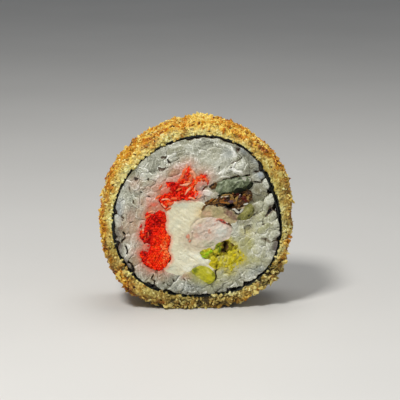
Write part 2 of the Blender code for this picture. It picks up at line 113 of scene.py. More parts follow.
def cells(places, seed):
    """Among scattered points, about one in each unit of space: the distances to the nearest and the
    second one, the nearest one's number, and how high its own tilted top is at each place."""
    base = np.floor(places).astype(np.int64)
    best, second = np.full((2, len(places)), 9.0)
    owner, level = np.zeros((2, len(places)))
    for shift in np.ndindex(3, 3, 3):
        cell = base + np.array(shift) - 1
        spot, tilt = (np.stack([hashed(cell, seed + k) for k in keys], -1)
                      for keys in ((1, 2, 3), (8, 9, 10)))
        away = places - (cell + spot)
        distance = np.linalg.norm(away, axis=-1)
        nearer = distance < best
        second = np.where(nearer, best, np.minimum(second, distance))
        best = np.where(nearer, distance, best)
        owner = np.where(nearer, hashed(cell, seed + 4), owner)
        level = np.where(nearer, (away * (tilt - 0.5)).sum(-1) * CELL_TILT, level)
    return best, second, owner, level


def smoothstep(x):
    x = np.clip(x, 0, 1)
    return x * x * (3 - 2 * x)


def lifted(flat, y):
    """Face points as (u, y, v)."""
    return np.stack((flat[:, 0], np.broadcast_to(y, len(flat)), flat[:, 1]), 1)


def shaken(flat, y, amount, size, seed):
    """Face points shifted a little here and there, so that what is drawn on them is irregular."""
    places = lifted(flat, y)
    return flat + amount * np.stack((noise(places, size, seed), noise(places, size, seed + 1)), 1)


def along_across(x, z, bearing):
    """Flat offsets measured along a bearing in degrees, and across it."""
    c, s = math.cos(math.radians(bearing)), math.sin(math.radians(bearing))
    return x * c + z * s, z * c - x * s


def circle(angle):
    return np.stack((np.cos(angle), np.sin(angle)), -1)


def stretched(flat, along, across, bearing, y):
    """Face points as noise places, drawn out along a bearing in degrees."""
    u, v = along_across(*flat.T, bearing)
    return np.stack((u / along, np.full(len(flat), y), v / across), 1)


def blob(flat, u, v, half_width, half_height, bearing):
    """1 in the middle of an ellipse on the face, fading to 0 at its edge."""
    x, z = along_across(flat[:, 0] - u, flat[:, 1] - v, bearing)
    return smoothstep(1 - np.hypot(x / half_width, z / half_height))


def blobs(flat, table):
    """The strongest of several blobs, each with its own amount last in its row."""
    total = np.zeros(len(flat))
    for *ellipse, amount in table:
        total = np.maximum(total, amount * blob(flat, *ellipse))
    return total


# Meshes

def make_piece(name, verts, faces, material, attributes=None, smooth=True, sharp=None):
    """A mesh object from (u, y, v) points, with one float attribute for each name given."""
    mesh = bpy.data.meshes.new(name)
    mesh.vertices.add(len(verts))
    mesh.vertices.foreach_set("co", np.asarray(verts * MM + CORE, np.float32).ravel())
    faces = [np.asarray(f, np.int32).reshape(-1, n) for n, f in faces.items() if len(f)]
    loops = np.concatenate([f.ravel() for f in faces])
    sizes = np.concatenate([np.full(len(f), f.shape[1], np.int32) for f in faces])
    mesh.loops.add(len(loops))
    mesh.loops.foreach_set("vertex_index", loops)
    mesh.polygons.add(len(sizes))
    mesh.polygons.foreach_set("loop_start", np.cumsum(sizes) - sizes)
    mesh.polygons.foreach_set("loop_total", sizes)
    mesh.update(calc_edges=True)
    mesh.polygons.foreach_set("use_smooth", np.full(len(mesh.polygons), smooth))
    if sharp:
        mesh.set_sharp_from_angle(angle=math.radians(sharp))
    for key, values in (attributes or {}).items():
        layer = mesh.attributes.new(key, "FLOAT", "POINT")
        layer.data.foreach_set("value", np.asarray(values, np.float32))
    mesh.materials.append(material)
    obj = bpy.data.objects.new(name, mesh)
    bpy.context.scene.collection.objects.link(obj)
    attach(obj, "root")
    return obj


class Heap:
    """Many small meshes gathered into one piece."""

    def __init__(self):
        self.verts, self.tris, self.attributes, self.count = [], [], {}, 0

    def add(self, verts, tris, **attributes):
        self.verts.append(verts)
        self.tris.append(tris + self.count)
        for key, value in attributes.items():
            filled = np.broadcast_to(np.asarray(value, float), (len(verts),))
            self.attributes.setdefault(key, []).append(filled)
        self.count += len(verts)

    def points(self):
        return np.concatenate(self.verts)

    def piece(self, name, material, smooth=True, **more):
        attributes = {key: np.concatenate(parts) for key, parts in self.attributes.items()}
        attributes.update(more)
        faces = {3: np.concatenate(self.tris)}
        return make_piece(name, self.points(), faces, material, attributes, smooth)


def ball(rings, sides):
    """A unit sphere with poles on the first axis, as (vertices, triangles)."""
    verts = [(-1.0, 0.0, 0.0)]
    for i in range(1, rings):
        a = math.pi * i / rings
        for j in range(sides):
            b = 2 * math.pi * (j + 0.5 * (i % 2)) / sides
            verts.append((-math.cos(a), math.sin(a) * math.cos(b), math.sin(a) * math.sin(b)))
    verts.append((1.0, 0.0, 0.0))
    tris = []
    last = len(verts) - 1
    for j in range(sides):
        k = (j + 1) % sides
        tris.append((0, 1 + k, 1 + j))
        tris.append((last, last - sides + j, last - sides + k))
        for i in range(rings - 2):
            a, b = 1 + i * sides, 1 + (i + 1) * sides
            if (i + 1) % 2:
                tris += [(a + j, a + k, b + k), (a + j, b + k, b + j)]
            else:
                tris += [(a + j, a + k, b + j), (a + k, b + k, b + j)]
    return np.array(verts), np.array(tris)


def turned(points, along, roll=0.0):
    """Points whose first axis is turned to lie along a direction."""
    turn = Vector(along).to_track_quat("X", "Z").to_matrix() @ Matrix.Rotation(roll, 3, "X")
    return points @ np.array(turn).T


# Outlines and regions of the cut face

def plain_mesh(node):
    """A node's vertices as (u, y, v), joined where they meet, and its triangles."""
    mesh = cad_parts[node].data
    mesh.calc_loop_triangles()
    co = (np.array([v.co for v in mesh.vertices]) - CORE) / MM
    tris = np.array([t.vertices for t in mesh.loop_triangles])
    _, first, same = np.unique(np.round(co * 1000).astype(np.int64), axis=0,
                               return_index=True, return_inverse=True)
    return co[first], same.ravel()[tris]


def wall_loop(node):
    """The (u, v) outline of a node that runs straight through the roll."""
    co, tris = plain_mesh(node)
    depth = co[tris][:, :, 1]
    step = {}
    for tri in tris[(depth.min(1) < 0) & (depth.max(1) > 0)]:
        for a, b in ((tri[0], tri[1]), (tri[1], tri[2]), (tri[2], tri[0])):
            if co[a, 1] < 0 and co[b, 1] < 0:
                step[int(a)] = int(b)
    start = min(step)
    loop, at = [start], step[start]
    while at != start:
        loop.append(at)
        at = step[at]
    return co[loop][:, (0, 2)]


def finer(loop, spacing):
    """A smooth closed curve through the loop's points, with a point about every spacing."""
    out = []
    n = len(loop)
    for i in range(n):
        a, b, c, d = (loop[(i + k) % n] for k in (-1, 0, 1, 2))
        steps = max(1, round(float(np.linalg.norm(c - b)) / spacing))
        for t in np.arange(steps) / steps:
            out.append(0.5 * (2 * b + (c - a) * t + (2 * a - 5 * b + 4 * c - d) * t * t
                              + (3 * b - a - 3 * c + d) * t ** 3))
    return np.array(out)


def loop_normals(loop):
    along = np.roll(loop, -1, 0) - np.roll(loop, 1, 0)
    turn = loop[:, 0] * np.roll(loop[:, 1], -1) - np.roll(loop[:, 0], -1) * loop[:, 1]
    normal = np.stack((along[:, 1], -along[:, 0]), 1) * math.copysign(1.0, turn.sum())
    return normal / np.maximum(np.linalg.norm(normal, axis=1), 1e-9)[:, None]


def inside(loop, points):
    """Whether each point is inside the loop."""
    odd = np.zeros(len(points), bool)
    x, y = points[:, 0], points[:, 1]
    for a, b in zip(loop, np.roll(loop, -1, 0)):
        if a[1] != b[1]:
            crosses = (a[1] > y) != (b[1] > y)
            odd ^= crosses & (x < a[0] + (y - a[1]) * (b[0] - a[0]) / (b[1] - a[1]))
    return odd


def nearest(points, targets):
    """Distance from each flat point to the nearest target."""
    tree = KDTree(len(targets))
    for i, (u, v) in enumerate(targets):
        tree.insert((u, v, 0), i)
    tree.balance()
    return np.array([tree.find((u, v, 0))[2] for u, v in points])


def hex_points(low, high, spacing, draw, jitter=0.12):
    rows = int((high[1] - low[1]) / (spacing * 0.866)) + 2
    columns = int((high[0] - low[0]) / spacing) + 2
    j, i = np.meshgrid(np.arange(rows), np.arange(columns), indexing="ij")
    points = np.stack(((i + 0.5 * (j % 2)) * spacing + low[0], j * spacing * 0.866 + low[1]), -1)
    points = points.reshape(-1, 2)
    return points + draw.uniform(-jitter, jitter, points.shape) * spacing


def wrap_radius(angle):
    """Distance from the wrap's centre to the middle of the sheet's outer turn."""
    return WRAP_RADIUS + sum(c * np.cos(k * angle) + s * np.sin(k * angle)
                             for k, c, s in WRAP_LOBES)


def sheet_dip(travel):
    """How far the sheet's inner end lies inside its outer turn, this far round from the end."""
    return SHEET_DIP * (1 - smoothstep((travel - SHEET_OVERLAP) / SHEET_RISE))


def rice_limit(angle):
    """Distance from the wrap's centre that the rice can reach."""
    travel = (angle + SHEET_RISE) % (2 * math.pi) - SHEET_RISE
    dip = sheet_dip(travel) * smoothstep(1 + travel / SHEET_RISE)
    return wrap_radius(angle) - SHEET_HALF - 0.12 - dip


def around_wrap(angle, radius):
    return WRAP_CENTRE + np.stack((radius * np.cos(angle), radius * np.sin(angle)), -1)


def polar(flat):
    """Each face point's angle and distance from the wrap's centre."""
    u, v = (flat - WRAP_CENTRE).T
    return np.arctan2(v, u), np.hypot(u, v)


def wrap_room(flat):
    """How far inside the rice's limit each face point is."""
    angle, radius = polar(flat)
    return rice_limit(angle) - radius


def turns(points, tris):
    """Twice the area of each flat triangle, below 0 where it runs clockwise."""
    a, b, c = (points[tris[:, k]] for k in range(3))
    return (b[:, 0] - a[:, 0]) * (c[:, 1] - a[:, 1]) - (b[:, 1] - a[:, 1]) * (c[:, 0] - a[:, 0])


def slab(points, tris, front, back):
    """A closed body over a flat region, with its two ends at the given depths."""
    n = len(points)
    tris = np.where((turns(points, tris) < 0)[:, None], tris[:, ::-1], tris)
    near, far = lifted(points, front), lifted(points, back)
    rim = rim_edges(tris)
    on_rim = np.unique(rim)
    halfway = np.full(n, -1)
    halfway[on_rim] = n + np.arange(len(on_rim))
    layers = np.arange(n), halfway, n + len(on_rim) + np.arange(n)
    walls = [np.stack((upper[rim[:, 1]], upper[rim[:, 0]], lower[rim[:, 0]], lower[rim[:, 1]]), 1)
             for upper, lower in zip(layers, layers[1:])]
    verts = np.concatenate((near, near[on_rim] + (far[on_rim] - near[on_rim]) / 2, far))
    faces = {3: np.concatenate((tris, tris[:, ::-1] + layers[2][0])), 4: np.concatenate(walls)}
    return verts, faces, on_rim


def tri_edges(tris):
    return np.concatenate((tris[:, :2], tris[:, 1:], tris[:, (2, 0)]))


def rim_edges(tris):
    """The edges that only one triangle has, each in its triangle's order."""
    edges = tri_edges(tris)
    _, which, count = np.unique(np.sort(edges, 1), axis=0, return_inverse=True, return_counts=True)
    return edges[count[which.ravel()] == 1]


def over_slab(front, rim, back):
    """A value for each point of a slab, from those of its two ends."""
    return np.concatenate((front, front[rim], back))


# Materials

def linear(colour):
    """A colour from its 0 to 255 screen values."""
    return tuple(((c / 255 + 0.055) / 1.055) ** 2.4 if c > 10 else c / 255 / 12.92 for c in colour)


class Paint:
    """A procedural material, put together node by node. Its places are the frame's own."""

    def __init__(self, name, roughness, **sockets):
        self.material = bpy.data.materials.new(name)
        self.material.use_nodes = True
        self.tree = self.material.node_tree
        self.shader = self.tree.nodes["Principled BSDF"]
        self.shader.inputs["Roughness"].default_value = roughness
        for key, value in sockets.items():
            self.shader.inputs[key.replace("_", " ")].default_value = value
        self.place = self.node("ShaderNodeTexCoord").outputs["Object"]

    def node(self, kind, inputs=None, **settings):
        made = self.tree.nodes.new(kind)
        for key, value in settings.items():
            setattr(made, key, value)
        for key, value in (inputs or {}).items():
            self.feed(made.inputs[key], value)
        return made

    def feed(self, socket, value):
        if isinstance(value, bpy.types.NodeSocket):
            self.tree.links.new(value, socket)
        elif value is not None:
            socket.default_value = value

    def attribute(self, name):
        return self.node("ShaderNodeAttribute", attribute_name=name).outputs["Fac"]

    def noise(self, size, detail=3.0, roughness=0.6, stretch=None, distortion=0.0):
        """Noise from 0 to 1, its size in millimetres. stretch is (along, bearing in degrees)."""
        place = self.place
        if stretch:
            along, bearing = stretch
            turned = self.node("ShaderNodeMapping", {
                "Vector": place, "Rotation": (0.0, math.radians(bearing), 0.0)}).outputs[0]
            place = self.node("ShaderNodeMapping", {
                "Vector": turned, "Scale": (1 / along, 1.0, 1.0)}).outputs[0]
        return self.node("ShaderNodeTexNoise", {
            "Vector": place, "Scale": 1 / (size * MM), "Detail": detail, "Roughness": roughness,
            "Distortion": distortion}).outputs["Fac"]

    def math(self, operation, a, b, clamp=False):
        made = self.node("ShaderNodeMath", operation=operation, use_clamp=clamp)
        self.feed(made.inputs[0], a)
        self.feed(made.inputs[1], b)
        return made.outputs[0]

    def swing(self, value, amount):
        """A 0 to 1 value made to swing about 0 by this amount."""
        return self.math("MULTIPLY", self.math("SUBTRACT", value, 0.5), amount)

    def spread(self, value, low, high, to=(0.0, 1.0)):
        """Goes smoothly between two values as the input goes from low to high."""
        return self.node("ShaderNodeMapRange", {
            "Value": value, "From Min": low, "From Max": high, "To Min": to[0], "To Max": to[1],
        }, interpolation_type="SMOOTHSTEP").outputs[0]

    def ramp(self, value, stops):
        made = self.node("ShaderNodeValToRGB", {"Fac": value})
        elements = made.color_ramp.elements
        while len(elements) < len(stops):
            elements.new(0.5)
        for element, (place, colour) in zip(elements, stops):
            element.position = place
            element.color = (*linear(colour), 1.0)
        return made.outputs["Color"]

    def mix(self, share, a, b):
        made = self.node("ShaderNodeMix", data_type="RGBA")
        self.feed(made.inputs[0], share)
        for socket, value in ((made.inputs[6], a), (made.inputs[7], b)):
            flat = not isinstance(value, bpy.types.NodeSocket)
            self.feed(socket, (*linear(value), 1.0) if flat else value)
        return made.outputs[2]

    def bump(self, height, distance, strength):
        return self.node("ShaderNodeBump", {"Height": height, "Distance": distance * MM,
                                            "Strength": strength}).outputs[0]

    def finish(self, colour, normal=None, roughness=None):
        self.feed(self.shader.inputs["Base Color"], colour)
        if normal:
            self.feed(self.shader.inputs["Normal"], normal)
        if roughness:
            self.feed(self.shader.inputs["Roughness"], roughness)
        return self.material


def soft(weight, radius, scale):
    """Shader settings for food that light sinks into, with its scale in millimetres."""
    return {"Subsurface_Weight": weight, "Subsurface_Radius": radius,
            "Subsurface_Scale": scale * MM}


def crust_paint():
    """Fried crumbs: tone runs from pale to dark and cut is where the knife went; painted shade
    darkens the lower and right sides and the hollows between crumbs.
    """
    p = Paint("fried_crumbs", 0.6, Specular_IOR_Level=0.35, **soft(0.06, (1.0, 0.5, 0.1), 0.5))
    fine = p.noise(0.55, 4.0, 0.7)
    level = p.math("ADD", p.attribute("tone"), p.swing(fine, 1.1))
    fried = p.ramp(level, ((0.0, (232, 204, 100)), (0.28, (210, 156, 26)), (0.52, (194, 118, 2)),
                           (0.76, (156, 80, 2)), (1.0, (76, 34, 0))))
    crumb = p.ramp(level, ((0.0, (240, 236, 176)), (0.35, (220, 208, 124)), (0.6, (190, 168, 76)),
                           (0.82, (142, 112, 34)), (1.0, (70, 48, 8))))
    colour = p.mix(p.attribute("cut"), fried, crumb)
    # Painted shade: darker, more olive crumbs toward the bottom and the right of the roll
    dull = p.attribute("dull")
    dulled = p.ramp(level, ((0.0, (206, 190, 116)), (0.32, (134, 114, 44)), (0.65, (78, 54, 8)),
                            (1.0, (22, 13, 0))))
    colour = p.mix(dull, colour, dulled)
    # Painted shade: the hollows between crumbs are darker
    colour = p.mix(p.math("MULTIPLY", p.attribute("hollow"), 0.88), colour,
                   p.mix(dull, (84, 60, 14), (34, 24, 5)))
    return p.finish(colour, p.bump(p.noise(0.25, 3.0, 0.7), 0.12, 0.6),
                    p.spread(fine, 0.2, 0.8, (0.28, 0.7)))


def rice_paint():
    """Cooked grains, stained pink by roe, green by avocado and brown by eel, with painted shade in
    the gaps, the pits and by the seaweed, bluish-grey and purple-grey painted shade near the edges,
    and small painted glints.
    """
    p = Paint("cooked_rice", 0.3, Specular_IOR_Level=0.8, **soft(0.12, (1.0, 0.95, 0.8), 0.5))
    cloud = p.noise(1.6, 3.0, 0.6)
    level = p.math("ADD", p.attribute("tone"), p.swing(cloud, 0.25))
    level = p.math("ADD", level, p.swing(p.noise(0.7, 3.0, 0.6), 0.8))
    # Sparse bright specks are painted wet glints; dark specks mottle the grains
    speck = p.noise(0.5, 1.0, 0.5)
    level = p.math("ADD", level, p.spread(speck, 0.60, 0.72, (0.0, 0.30)))
    level = p.math("SUBTRACT", level, p.spread(speck, 0.40, 0.28, (0.0, 0.30)))
    base = p.ramp(level, ((0.0, (112, 112, 94)), (0.35, (166, 167, 148)), (0.65, (204, 205, 188)),
                          (1.0, (246, 247, 238))))
    patchy = p.noise(2.2, 4.0, 0.65)
    for key, stain in RICE_STAINS:
        share = p.math("MULTIPLY", p.attribute(key), p.spread(patchy, 0.2, 0.7, (0.45, 1.0)), True)
        base = p.mix(share, base, stain)
    # Painted shade in the gaps between grains, then in the pits and the gap by the seaweed: brown
    # where shallow, near black where deep
    colour = p.mix(p.attribute("deep"), base, (98, 92, 68))
    pit = p.attribute("pit")
    colour = p.mix(p.spread(pit, 0.1, 0.5), colour,
                   p.ramp(pit, ((0.2, (92, 82, 40)), (0.4, (100, 76, 52)), (0.8, (28, 20, 10)))))
    return p.finish(colour, p.bump(p.noise(0.7, 4.0, 0.65), 0.36, 1.0),
                    p.spread(cloud, 0.2, 0.8, (0.16, 0.36)))


def roe_paint():
    p = Paint("roe_red", 0.4, Specular_IOR_Level=0.2, **soft(0.15, (1.0, 0.3, 0.05), 0.4))
    level = p.math("ADD", p.attribute("tone"), p.swing(p.noise(1.8, 3.0, 0.6), 0.9))
    colour = p.ramp(level, ((0.0, (120, 0, 0)), (0.3, (200, 6, 0)), (0.6, (250, 36, 0)),
                            (0.85, (255, 78, 6)), (1.0, (255, 138, 76))))
    return p.finish(colour, p.bump(p.noise(0.5), 0.08, 0.6),
                    p.spread(p.noise(0.9), 0.2, 0.8, (0.3, 0.5)))


def seaweed_paint():
    p = Paint("seaweed_black", 0.42, Specular_IOR_Level=0.4)
    fibre = p.noise(0.5, 5.0, 0.7, distortion=1.5)
    colour = p.ramp(fibre, ((0.2, (8, 11, 8)), (0.6, (20, 26, 18)), (0.95, (42, 44, 28))))
    return p.finish(colour, p.bump(fibre, 0.15, 0.7), p.spread(fibre, 0.2, 0.9, (0.3, 0.6)))


# The stage, camera and lights

# Where the middle of the cut face is in a picture of this width in pixels; the view's width there
# and the camera's distance are in metres
FACE_PIXEL = (197.3, 216.6)
PICTURE = 400
VIEW_WIDTH = 0.124
DISTANCE = 0.5
CAMERA_BEARING = math.radians(-3.5)
CAMERA_RISE = math.radians(12.5)
SENSOR = 36.0


def aim(obj, target):
    obj.rotation_euler = (Vector(target) - obj.location).to_track_quat("-Z", "Y").to_euler()


def add_camera():
    """The camera looks slightly down on the cut face, from a little to its left."""
    level = math.cos(CAMERA_RISE)
    away = Vector((math.sin(CAMERA_BEARING) * level, -math.cos(CAMERA_BEARING) * level,
                   math.sin(CAMERA_RISE)))
    face = Vector((CORE[0], -HALF_DEPTH * MM, CORE[2]))
    right = Vector((math.cos(CAMERA_BEARING), math.sin(CAMERA_BEARING), 0.0))
    pixel = VIEW_WIDTH / PICTURE
    target = (face - right * (FACE_PIXEL[0] - PICTURE / 2) * pixel
              + away.cross(right) * (FACE_PIXEL[1] - PICTURE / 2) * pixel)
    camera = bpy.data.objects.new("camera", bpy.data.cameras.new("camera"))
    camera.location = target + away * DISTANCE
    camera.data.sensor_width = SENSOR
    camera.data.lens = SENSOR * DISTANCE / VIEW_WIDTH
    camera.data.clip_start = 0.01
    aim(camera, target)
    bpy.context.scene.collection.objects.link(camera)
    bpy.context.scene.camera = camera


FLOOR_REACH = 3.0
# Area lamps: (name, place, size in metres, watts, colour)
LAMPS = (
    ("key", (-0.20, -0.30, 0.50), 0.12, 3, (1, 0.98, 0.95)),
    ("fill", (0.50, -0.35, 0.22), 0.40, 0.5, (0.95, 0.97, 1)),
    ("top", (0.05, 0.10, 0.55), 0.35, 1, (1, 0.98, 0.94)),
)


def add_stage():
    """A plain pale floor under soft lights."""
    floor = bpy.data.meshes.new("floor")
    corners = [(x * FLOOR_REACH, y * FLOOR_REACH, 0)
               for x, y in ((-1, -1), (1, -1), (1, 1), (-1, 1))]
    floor.from_pydata(corners, [], [(0, 1, 2, 3)])
    p = Paint("floor", 0.55, Specular_IOR_Level=0.25)
    stone = ((0.3, (206, 205, 202)), (0.7, (212, 211, 208)))
    floor.materials.append(p.finish(p.ramp(p.noise(200), stone)))
    floor = bpy.data.objects.new("floor", floor)
    bpy.context.scene.collection.objects.link(floor)
    world = bpy.data.worlds.new("studio")
    world.use_nodes = True
    background = world.node_tree.nodes["Background"]
    background.inputs["Color"].default_value = (0.93, 0.96, 1.0, 1.0)
    background.inputs["Strength"].default_value = 0.20
    bpy.context.scene.world = world
    for name, place, size, power, colour in LAMPS:
        lamp = bpy.data.lights.new(name, "AREA")
        lamp.size = size
        lamp.energy = power
        lamp.color = colour
        lamp = bpy.data.objects.new(name, lamp)
        lamp.location = place
        aim(lamp, (0, 0, 0.03))
        bpy.context.scene.collection.objects.link(lamp)
    bpy.context.scene.view_settings.view_transform = "Standard"


# The coating

# The grid's points round the roll, and its rows over a face, a corner, the outside and the inside
CRUST_STEPS = 800
CRUST_FACE = 11
CRUST_CORNER = 6
CRUST_ROWS = 62
CRUST_INNER_ROWS = 3
# How far the inside is from the sheet's middle, how often the outline is smoothed, how thick the
# coating is at least, how wide its corners are, where noise for the rims is read, and how far
# crumbs reach over the sheet everywhere
CRUST_SEAM = SHEET_HALF + 0.1
CRUST_BLUR = 5
CRUST_LEAST = 1.0
CORNER = 1.3
RIM_RADIUS = 29
LIP_LEAST = 0.12
# The loose crumbs: how many, of how many shapes, and half of their length
CRUMBS = 7600
CRUMB_KINDS = 24
CRUMB_LENGTH = 0.56
CRUMB_LONGEST = 1.1
# Kinds of crumbs in the relief: (size, seed)
CRUMB_SIZES = ((1.25, 11), (0.62, 31), (2.2, 51))
# Rows of (amount, size, seed) for waves()
LIP_WAVES = ((1.1, 1.1, 15), (0.6, 0.5, 16))
CORNER_WAVES = ((0.45, 5, 14),)
CRUST_TONE = ((0.24, 5, 41), (0.20, 2, 42))
CRUST_CUT = ((0.34, 2.2, 43),)
CRUST_SHADE_WAVES = ((0.12, 3, 44),)

# Where the outline swells or is chipped: (bearing in degrees, half width in degrees, millimetres)
DENTS = (
    (-113, 5, -1.2), (-18, 9, -0.8), (-62, 5, 1), (-131, 10, 0.6), (-36, 3, -0.5), (-54, 4, -0.6),
    (-150, 4, 0.5), (66, 16, -0.5), (96, 8, -0.6), (-74, 3, -0.5), (10, 5, 0.3), (-10, 6, -0.3),
    (166, 4, -0.4), (138, 6, -0.4),
)
# Browner patches of the outside: (u, v, half width, half height, bearing, change in tone)
BROWNED = (
    (-9, 30.5, 5, 1.6, 5, 0.26), (11.5, 29.5, 3, 1.8, -20, 0.30), (17, 25.5, 2.6, 1.6, -40, 0.22),
    (25, 17, 2.4, 2, -60, 0.26), (-22.2, -23, 2.6, 2.4, 45, 0.40), (26.3, -14.3, 1.8, 1.6, 0, 0.34),
    (22.5, -20.8, 2.4, 1.6, 40, 0.20), (-28.5, -3, 1.6, 7, 0, 0.12), (-25, 17, 2.4, 3.5, -50, 0.16),
    (28.6, -3, 1, 4, 0, 0.14), (24, 13.6, 1, 1, 0, 0.2), (9.5, 27.2, 6, 1.8, -20, 0.22),
    (-13.4, 26.4, 6, 1.8, 30, 0.26), (-26.6, -14, 2.4, 6, 15, 0.16), (10, -26.5, 5, 2, 8, 0.24),
    (-14, -25.8, 6, 2.4, -28, 0.26), (24, -18, 4, 3, 45, 0.36), (-28, 2, 2, 8, 0, 0.08),
    (27.6, 4, 2, 8, 0, 0.10),
)
# Paler patches, in the same order
PALER = (
    (5, 28.4, 9, 2, -8, 0.30), (-14, -25.2, 5, 1.8, -28, 0.10), (0, -30.4, 12, 1.6, 0, 0.34),
    (-14, -28.2, 6, 1.4, -26, 0.3), (15, -27.4, 6, 1.4, 30, 0.3), (0, 27.6, 9, 2.2, 0, 0.14),
    (-8, 24.5, 5, 1.6, 20, 0.12),
)
# Where the knife left the brown outside on the front ring, in the same order, with a share
FRIED = (
    (-24.5, -20.5, 5, 6, 45, 0.9), (10.5, 27.2, 9, 3, -22, 1), (-29.2, -3, 1.8, 9, 0, 0.5),
    (26.6, -14.4, 2.2, 2, 0, 0.7), (22.5, -21.2, 2.6, 1.8, 40, 0.6), (-13.4, 26.6, 7, 2, 30, 0.5),
    (24.6, 18.6, 5, 2.2, -55, 0.4),
)
# Where crumbs hang over the seaweed's cut edge: (bearing, half width in degrees, millimetres)
LIPS = (
    (131, 29, 0.75), (251, 17, 1.25), (286, 10, 1.7), (168, 14, 0.3), (40, 50, 0.5),
    (312, 26, 0.45), (212, 26, 0.4),
)
# Where crumbs cling in larger lumps, in the same order
CHUNKY = (
    (24, -20, 15, 9, 40, 1), (0, -29, 34, 7, 0, 0.8), (29, -8, 6, 12, 0, 0.6),
    (-24, -20, 9, 9, 0, 0.5),
)
# Where shade is painted on the coating, darker and more olive toward the bottom and the right, in
# the same order
PAINTED_SHADE_SPOTS = (
    (0, -32, 40, 15, 0, 0.9), (26, -21, 14, 13, 45, 1), (29, 3, 8, 20, 0, 0.45),
    (-27, -13, 6, 12, 15, 0.2),
)


def ray_radius(tree, angles, depths):
    """Distance from the wrap's axis to a body's outside, for each bearing and depth."""
    out = np.zeros(len(angles))
    for i, (angle, y) in enumerate(zip(angles, depths)):
        way = Vector((math.cos(angle), 0.0, math.sin(angle)))
        start = Vector((WRAP_CENTRE[0], y, WRAP_CENTRE[1]))
        out[i] = (tree.ray_cast(start + way * 50.0, -way)[0] - start).length
    return out


def turned_from(bearings, middle):
    """How many degrees each bearing is away from a middle one."""
    return np.abs((bearings - middle + 180) % 360 - 180)


def swells(bearings, table):
    """The sum of amounts that each fade away from a bearing, over a half width in degrees."""
    total = np.zeros(np.shape(bearings))
    for middle, half_width, amount in table:
        total = total + amount * smoothstep(1 - turned_from(bearings, middle) / half_width)
    return total


def blurred(values, times):
    for _ in range(times):
        values = 0.5 * values + 0.25 * (np.roll(values, 1, 0) + np.roll(values, -1, 0))
    return values


def chips(points, size, seed):
    """Angular crumbs packed over the points: their height from 0 to 1, and a number for each."""
    warp = np.stack([noise(points, size, seed + k) for k in (5, 6, 7)], -1)
    best, second, owner, level = cells(points / size + 0.25 * warp, seed)
    return (0.35 + 0.65 * owner + level) * smoothstep((second - best) / 0.30), owner


def crumb_relief(points):
    """How far crumbs stand out, a number for each crumb, and the large lumps' part in it."""
    (coarse, owner), (fine, small), (large, lump) = (chips(points, *row) for row in CRUMB_SIZES)
    chunky = blobs(points[:, (0, 2)], CHUNKY)
    height = (0.62 * coarse + 0.30 * fine + 0.22 * noise(points, 2.8, 5) - 0.50
              + 1.4 * chunky * (large - 0.5))
    return height, 0.5 * owner + 0.5 * small + 1.2 * chunky * (lump - 0.4), chunky * (lump - 0.5)


def crust_grid():
    """The coating's surface as a closed grid: points, outward directions and how much is cut."""
    angles = 2 * math.pi * np.arange(CRUST_STEPS) / CRUST_STEPS
    around = circle(angles)
    co, tris = plain_mesh("coating")
    tree = BVHTree.FromPolygons([Vector(p) for p in co], [[int(i) for i in t] for t in tris])
    inner = wrap_radius(angles) + CRUST_SEAM
    depths = np.linspace(-HALF_DEPTH + CORNER, HALF_DEPTH - CORNER, CRUST_ROWS)
    grid_a, grid_y = np.meshgrid(angles, depths, indexing="ij")
    outer = ray_radius(tree, grid_a.ravel(), grid_y.ravel()).reshape(grid_a.shape)
    outer = blurred(outer, CRUST_BLUR) + swells(np.degrees(angles), DENTS)[:, None]
    outer = np.maximum(outer, (inner + CRUST_LEAST)[:, None])
    rim = lifted(around * RIM_RADIUS, 0.0)
    lip = LIP_LEAST + swells(np.degrees(angles), LIPS)
    lip = lip * np.maximum(0.1, waves(rim, LIP_WAVES, 0.35))
    ring = []
    for side, edge in ((-1, outer[:, 0]), (1, outer[:, -1])):
        wide = CORNER * waves(rim + (0, 9 * side, 0), CORNER_WAVES, 1.15)
        wide = np.minimum(wide, edge - inner - 0.5)
        rows = [(inner + s * (edge - wide - inner) - lip * (s == 0), side * HALF_DEPTH, 0.0, side,
                 1.0 - 0.35 * s)
                for s in np.linspace(0, 1, CRUST_FACE + 1)[:-1]]
        for turn in np.linspace(0, math.pi / 2, CRUST_CORNER + 1)[:-1]:
            rows.append((edge - wide * (1 - math.sin(turn)),
                         side * (HALF_DEPTH - CORNER * (1 - math.cos(turn))),
                         math.sin(turn), side * math.cos(turn), 0.65 - 0.6 * math.sin(turn)))
        ring.append(rows)
    outside = [(outer[:, k], y, 1.0, 0.0, 0.0) for k, y in enumerate(depths)]
    inward = [(inner, y, 0.0, 0.0, 1.0)
              for y in np.linspace(HALF_DEPTH, -HALF_DEPTH, CRUST_INNER_ROWS + 2)[1:-1]]
    points, normals, cut = [], [], []
    for radius, y, outward, along, share in ring[0] + outside + ring[1][::-1] + inward:
        points.append(lifted(around_wrap(angles, radius), y))
        normals.append(lifted(outward * around, float(along)))
        cut.append(np.full(CRUST_STEPS, share))
    return np.array(points), np.array(normals), np.array(cut)


def crust_looks(points, cut):
    """How browned and how cut the coating is at each point, and how much painted shade it has."""
    flat = points[:, (0, 2)]
    tone = waves(points, CRUST_TONE, 0.34)
    tone += blobs(flat, BROWNED) - blobs(flat, PALER)
    cut = np.clip(waves(points, CRUST_CUT, cut - blobs(flat, FRIED)), 0, 1)
    return tone, cut, np.clip(waves(points, CRUST_SHADE_WAVES, blobs(flat, PAINTED_SHADE_SPOTS)), 0, 1)


